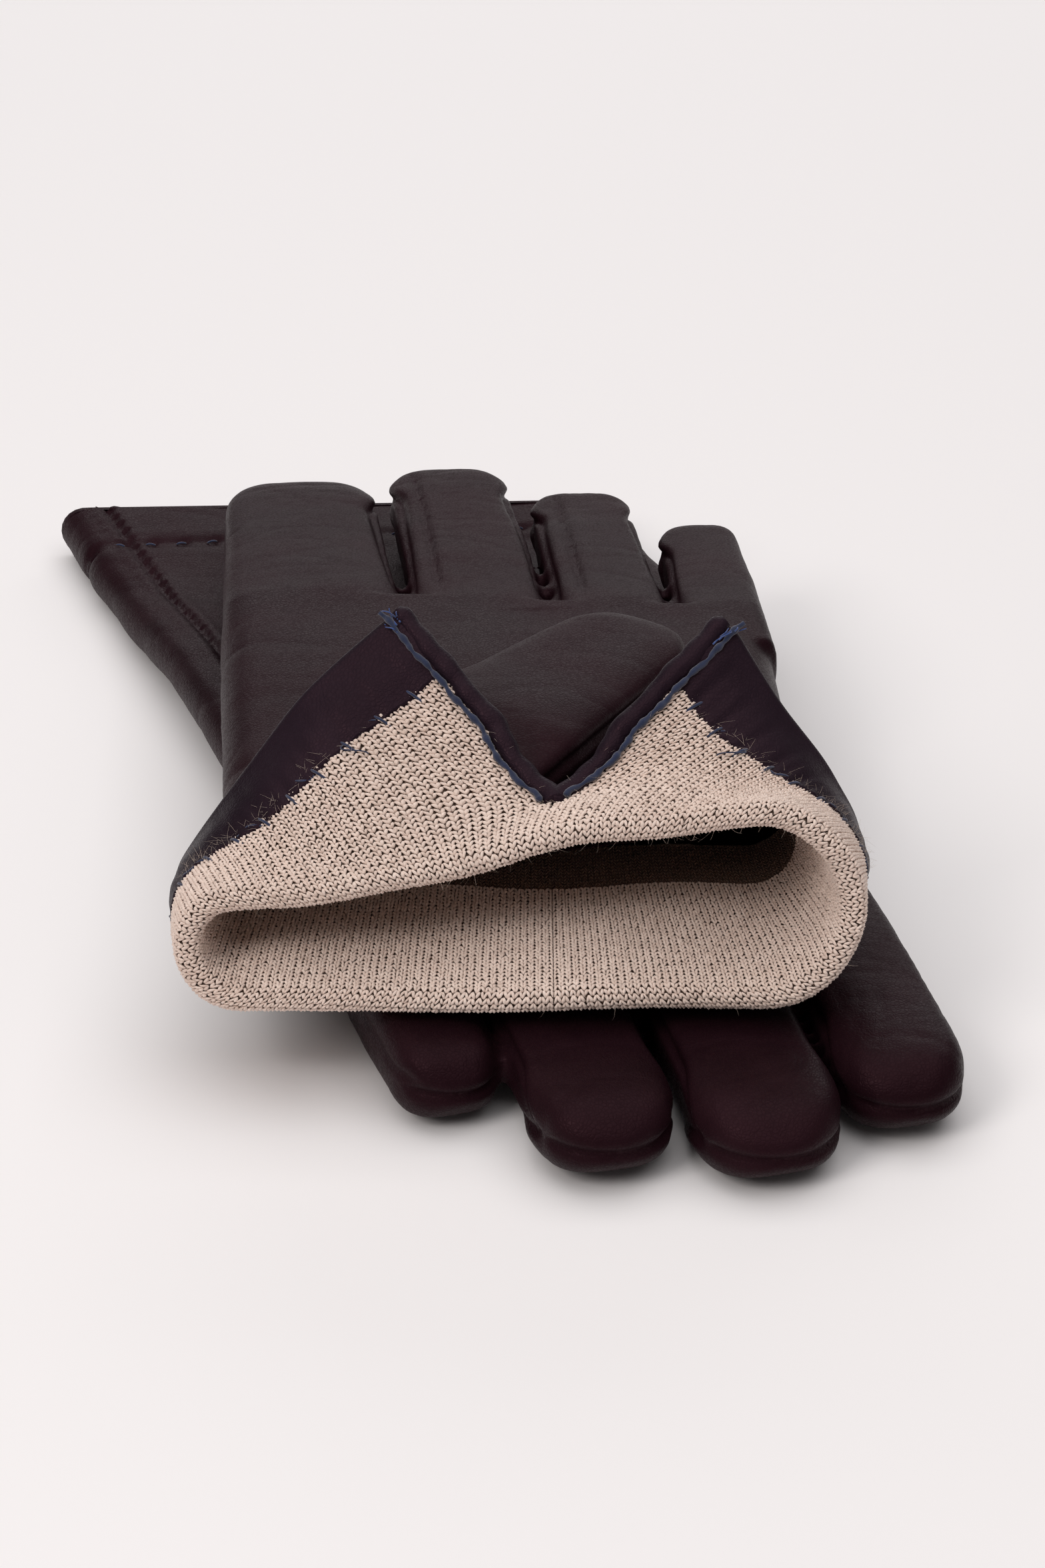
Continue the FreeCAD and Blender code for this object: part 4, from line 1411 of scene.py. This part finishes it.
    def vent(self, cloth: Cloth) -> None:
        """The rolled binding on the vent's edge, its raw edge and the frayed ends at the tip."""
        end = float(cloth.end(np.zeros(1))[0])
        along = np.linspace(0, end, 200)
        near = float(along[np.argmin(np.linalg.norm(cloth(0 * along, along) - self.apex, axis=1))])
        t = np.linspace(near - 0.6, end + 0.6, 90)
        wave = 0.25 * np.sin(t * 0.55) + 0.18 * np.sin(t * 1.3 + 2)
        turned_in = smooth((t - near) / 5.0) * (1 - smooth((t - near - 7.0) / 12.0))

        def thick(u: Array) -> Array:
            """Radius of the rolled binding, thinner at its end."""
            uneven = 0.14 * np.sin(u * 19.0) + 0.08 * np.sin(u * 47.0)
            return 1.95 + uneven - 0.8 * smooth((u - 0.97) / 0.03)

        path = cloth(-0.9 + 1.7 * turned_in + wave * 0.5, t, -0.55 + wave * 0.5)
        roll = self.tube("binding_roll", path, thick, 20, self.finishes.hem)
        self.settle(roll, True, (f"{self.stem(True)}_binding",))
        inner = cloth(1.45 + 1.5 * turned_in + wave * 0.6, t, 1.15 + 0.15 * np.sin(t * 2.1))
        raw = self.tube("raw_edge", inner, lambda u: 0.5 + 0.12 * np.sin(u * 61) + 0.08 * np.sin(u * 133),
                        8, self.finishes.edge)
        self.settle(raw, True)
        rng = np.random.default_rng(77 + self.way)
        for k in range(5):
            base = end - 1.5 - rng.uniform(0, 4.0)
            s0 = rng.uniform(0.2, 1.8)
            u = np.linspace(0, 1, 18)
            reach = rng.uniform(1.5, 3.6)
            curl = rng.uniform(-1.6, 1.6)
            up = 0.9 + rng.uniform(-0.6, 1.6) * u + 0.5 * np.sin(u * 7 + k)
            strand = cloth(s0 - 0.3 + curl * u ** 2, base + reach * u, up)
            obj = self.tube(f"fray_{k}", strand, lambda w: 0.17 - 0.08 * w, 5, self.finishes.bright)
            self.settle(obj, True)

    def sewing(self, cloth: Cloth) -> None:
        """Whip stitches along the facing's edge, with a few loose loops."""
        rng = np.random.default_rng(91 + self.way)
        u = np.linspace(0, 1, 12)
        for moving in (True, False):
            low, high = (3.0, self.flap) if moving else (self.flap, cloth.width - 2)
            places = np.arange(math.ceil(low / LEFT_STITCH), math.ceil(high / LEFT_STITCH)) * LEFT_STITCH
            whole = bmesh.new()
            for k, s0 in enumerate(places):
                edge = float(cloth.end(np.array([s0]))[0]) - self.band
                slant = rng.uniform(0.6, 1.5)
                strands = [(0.24, 6, cloth(s0 + slant * (u - 0.5), edge - 1.0 + 2.9 * u,
                                           0.1 + 0.6 * np.sin(math.pi * u) + 0.1 * u))]
                if k % 2:
                    up = 0.42 + 0.25 * np.sin(math.pi * u) + 0.12 * np.sin(9 * u + k)
                    run = edge + 0.25 + 0.5 * np.sin(u * 6 + k)
                    strands.append((0.19, 6, cloth(s0 + 0.6 + 5.2 * u, run, up)))
                if k % 7 == 2:
                    wander = rng.uniform(-3, 3) * u + 1.2 * np.sin(5 * u)
                    up = 0.7 + 0.6 * np.sin(2.6 * u)
                    strands.append((0.13, 5, cloth(s0 + wander, edge - 3.4 * u + 1.0, up)))
                for radius, sides, path in strands:
                    added(whole, swept(path, lambda w: radius + 0 * w, sides))
            obj = self.pattern.piece(f"{self.stem(moving)}_sewing", whole, self.finishes.thread)
            self.settle(obj, moving)

    def fuzz(self, cloth: Cloth) -> None:
        """Loose fibres that stand off the knit."""
        rng = np.random.default_rng(131 + self.way)

        def rod(u: Array, v: Array) -> Array:
            """Points of a straight rod of radius and length one."""
            return np.stack([np.cos(2 * math.pi * u), np.sin(2 * math.pi * u), v], axis=1)

        for word, low, high, count, moving in (("in", -22.0, 4.0, 700, False),
                                               ("wing", 4.0, 34.0, 600, True)):
            hair = grid(3, 4, rod, closed=True)
            shape = corners(hair)
            s = rng.uniform(0, self.flap if moving else cloth.width, count)
            t = rng.uniform(low, high, count)
            t = np.minimum(t, cloth.end(s) - self.band + 2)
            bm = tiled(hair, count)
            v = shape[None, :, 2]
            thin = 0.028 * (1 - 0.6 * v)
            reach = rng.uniform(0.8, 3.2, (count, 1))
            sway = rng.normal(0, 1.1, (2, count, 1))
            x = s[:, None] + shape[None, :, 0] * thin + sway[0] * v ** 1.5 * reach * 0.5
            y = t[:, None] + shape[None, :, 1] * thin + sway[1] * v ** 1.5 * reach * 0.5
            z = 0.3 + v * reach * rng.uniform(0.35, 0.8, (count, 1))
            obj = self.pattern.piece(f"{self.stem(moving)}_fuzz_{word}", bm, self.finishes.fuzz,
                                     cloth(x.ravel(), y.ravel(), z.ravel()))
            self.settle(obj, moving)

    def build(self) -> None:
        """Makes every piece of this half."""
        cloth = self.cloth()
        for part in (self.grounds, self.stitches, self.leathers, self.vent, self.sewing, self.fuzz):
            part(cloth)


# ---------------------------------------------------------------- right glove's hem


@dataclass
class RightHem:
    """Hem fold, vent binding, stitches and the inside of the right glove's cuff."""

    pattern: Pattern
    finishes: Finishes

    def ring(self, name: str, path: Sequence[tuple[float, float]], cells: int,
             material: bpy.types.Material) -> bpy.types.Object:
        """A band round the cuff.

        Args:
            name: the object's name.
            path: (distance in from the hem, growth) pairs across the band.
            cells: cells across the band.
            material: its finish.

        Returns:
            The band.
        """
        half = 80
        spots = resampled(np.array([[d, g, 0.0] for d, g in path]), cells + 1)

        def surface(u: Array, v: Array) -> Array:
            """Points of the band."""
            out = np.empty((len(u), 3))
            for row in np.unique(v):
                here = v == row
                inward, grow, _ = spots[int(round(row * cells))]
                share = inward / self.pattern.right_span
                section = self.pattern.right_section(max(share, 0.0))
                loop = section.loop(float(grow), half)
                if share < 0:
                    loop = loop + turned(section.heading) * inward
                out[here] = loop[np.round(u[here] * 2 * half).astype(int)]
            return out

        bm = grid(2 * half, cells, surface, closed=True)
        bmesh.ops.recalc_face_normals(bm, faces=bm.faces[:])
        layer = bm.loops.layers.uv.new("knit")
        for face in bm.faces:
            for loop in face.loops:
                loop[layer].uv = loop.vert.co.xy
        places = corners(bm)
        places[:, 2] = np.maximum(places[:, 2], self.pattern.floor + REST_GAP)
        return self.pattern.piece(name, bm, material, places)

    def build(self) -> None:
        """Makes the bands and the sewing."""
        fold = [(1.4, -0.25), (0.3, -0.3), (-0.25, -0.7), (-0.3, -1.2), (0.1, -1.7), (2.0, -1.9),
                (HEM_DEPTH - 1, -1.9), (HEM_DEPTH, -2.2)]
        hem = self.ring("right_hem_fold", fold, 40, self.finishes.leather)
        hang(hem, "right_hand", "outer_leather", "right_hem_facing")
        # The inside knit takes the ground finish, whose dark colours are painted shade inside the cuff.
        knit = self.ring("right_inner_knit", [(8.0, -2.5), (70.0, -2.4)], 30, self.finishes.ground)
        hang(knit, "right_hand", "lining_knit", "right_hand_lining")
        self.sewing()
        self.bindings()

    def sewing(self) -> None:
        """Stitch dimples' thread, one short bar per stitch round the top of the cuff."""
        section = self.pattern.right_section(HEM_DEPTH / self.pattern.right_span)
        whole = bmesh.new()
        flat = section.little_side[0]
        top = section.middle(0.0) + section.index_side[2]
        u = np.linspace(-1, 1, 8)
        for k, across in enumerate(np.arange(-flat, flat, RIGHT_STITCH)):
            x, z = across + u * 0.95, top - 0.72 + 0.34 * (1 - u ** 2)
            path = section.place(x, z) + np.outer(0.3 * np.sin(u + k), turned(section.heading))
            added(whole, swept(path, lambda w: 0.2 + 0 * w, 6))
        obj = self.pattern.piece("right_hem_sewing", whole, self.finishes.thread)
        hang(obj, "right_hand", "hem_thread", "right_hem_stitches")

    def bindings(self) -> None:
        """The two rolls that close the vent under the cuff."""
        section = self.pattern.right_section(0.0)
        low = section.middle(0.0) - section.index_side[2]
        inward = np.outer(np.linspace(0.4, 47.5, 40), turned(section.heading))
        whole = bmesh.new()
        for side in (-1, 1):
            path = section.place(np.full(40, side * 1.5), np.full(40, low + 1.35)) + inward
            added(whole, swept(path, lambda w: 1.2 + 0.06 * np.sin(w * 30), 14))
        obj = self.pattern.piece("right_vent_rolls", whole, self.finishes.hem)
        hang(obj, "right_hand", "vent_binding", "right_vent_binding")


# ---------------------------------------------------------------- studio


@dataclass(frozen=True)
class Lamp:
    """A soft rectangular light aimed at the pair."""

    name: str
    place: tuple[float, float, float]
    aim: tuple[float, float, float]
    size: tuple[float, float]
    power: float
    colour: tuple[float, float, float] = (1.0, 1.0, 1.0)

    def make(self) -> None:
        """Adds the light."""
        data = bpy.data.lights.new(self.name, "AREA")
        data.shape, data.size, data.size_y = "RECTANGLE", *self.size
        data.energy, data.color = self.power, self.colour
        lamp = bpy.data.objects.new(self.name, data)
        lamp.location = self.place
        lamp.rotation_euler = (Vector(self.aim) - Vector(self.place)).to_track_quat("-Z", "Y").to_euler()
        bpy.context.scene.collection.objects.link(lamp)


class Studio:
    """Floor, world, lights and camera."""

    def __init__(self, target: Array) -> None:
        """Keeps the point that the camera looks at."""
        self.target = Vector(target)

    def floor(self) -> None:
        """Wide pale table."""
        bm = bmesh.new()
        bmesh.ops.create_grid(bm, x_segments=2, y_segments=2, size=4.0)
        obj = to_object("table", bm)
        s = Shader("table_paper")
        dress(obj, s.finish({"Base Color": (0.90, 0.865, 0.865, 1.0), "Roughness": 0.85,
                             "Specular IOR Level": 0.1}))

    def world(self) -> None:
        """Even pale surroundings."""
        world = bpy.data.worlds.new("studio")
        world.use_nodes = True
        back = next(n for n in world.node_tree.nodes if n.type == "BACKGROUND")
        back.inputs["Color"].default_value = (1.0, 0.955, 0.955, 1.0)
        back.inputs["Strength"].default_value = 0.12
        bpy.context.scene.world = world

    def camera(self) -> None:
        """Long lens from the front, thirty degrees up."""
        data = bpy.data.cameras.new("view")
        data.lens, data.sensor_width, data.sensor_fit = 100.0, 36.0, "AUTO"
        camera = bpy.data.objects.new("view", data)
        rise = math.radians(CAMERA_RISE)
        away = Vector((0.0, -math.cos(rise), math.sin(rise)))
        camera.location = self.target + away * CAMERA_AWAY
        camera.rotation_euler = (math.pi / 2 - rise, 0.0, 0.0)
        bpy.context.scene.collection.objects.link(camera)
        bpy.context.scene.camera = camera

    def build(self) -> None:
        """Sets everything up."""
        self.floor()
        self.world()
        self.camera()
        Lamp("top", (0.0, -0.15, 1.9), (0, -0.1, 0), (3.0, 3.0), 40.5).make()
        Lamp("left_key", (-0.7, -0.8, 0.9), (0, 0, 0), (0.5, 0.5), 5.5, (1.0, 0.97, 0.94)).make()
        Lamp("back", (0.1, 1.3, 0.62), (0, 0, 0.02), (1.6, 0.5), 4.5).make()
        scene = bpy.context.scene
        scene.view_settings.view_transform = "Standard"
        scene.view_settings.look = "None"


# ---------------------------------------------------------------- the pair


# Hem of each half: place across (-1 for the last), then the hem's x, y and z.
INDEX_HEM = ((0, -22.0, -62.0, 69.0), (20, -37.0, -70.0, 58.0), (35, -46.0, -73.0, 46.0),
             (48, -53.0, -75.0, 36.0), (58, -58.0, -77.5, 28.5), (68, -57.5, -79.0, 22.0),
             (78, -52.0, -79.5, 18.9), (-1, 5.0, -78.0, 18.7))
LITTLE_HEM = ((0, 35.0, -65.0, 69.0), (14, 42.0, -70.0, 58.0), (30, 51.0, -72.0, 46.0),
              (42, 56.0, -73.0, 36.0), (56, 57.8, -75.0, 27.0), (68, 52.0, -77.5, 20.0),
              (80, 42.0, -78.0, 18.8), (-1, 5.0, -78.0, 18.7))


class Gloves:
    """The whole pair."""

    def __init__(self, frame: dict) -> None:
        """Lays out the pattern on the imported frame."""
        self.pattern = Pattern(list(frame["joints"]))
        self.finishes = Finishes()

    def build(self) -> None:
        """Makes every visual piece."""
        for side in Side:
            Skin(self.pattern, side, self.finishes).build()
            Thumb(self.pattern, side, self.finishes).build()
            log.info("%s glove's leather made", side.word)
        CuffHalf(self.pattern, "index", INDEX_HEM, self.finishes).build()
        CuffHalf(self.pattern, "little", LITTLE_HEM, self.finishes).build()
        RightHem(self.pattern, self.finishes).build()


def main() -> None:
    """Builds the scene."""
    logging.basicConfig(level=logging.INFO, format="%(message)s")
    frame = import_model()
    gloves = Gloves(frame)
    gloves.build()
    Studio(gloves.pattern.to_frame(np.zeros((1, 3)))[0]).build()


if __name__ == "__main__":
    main()
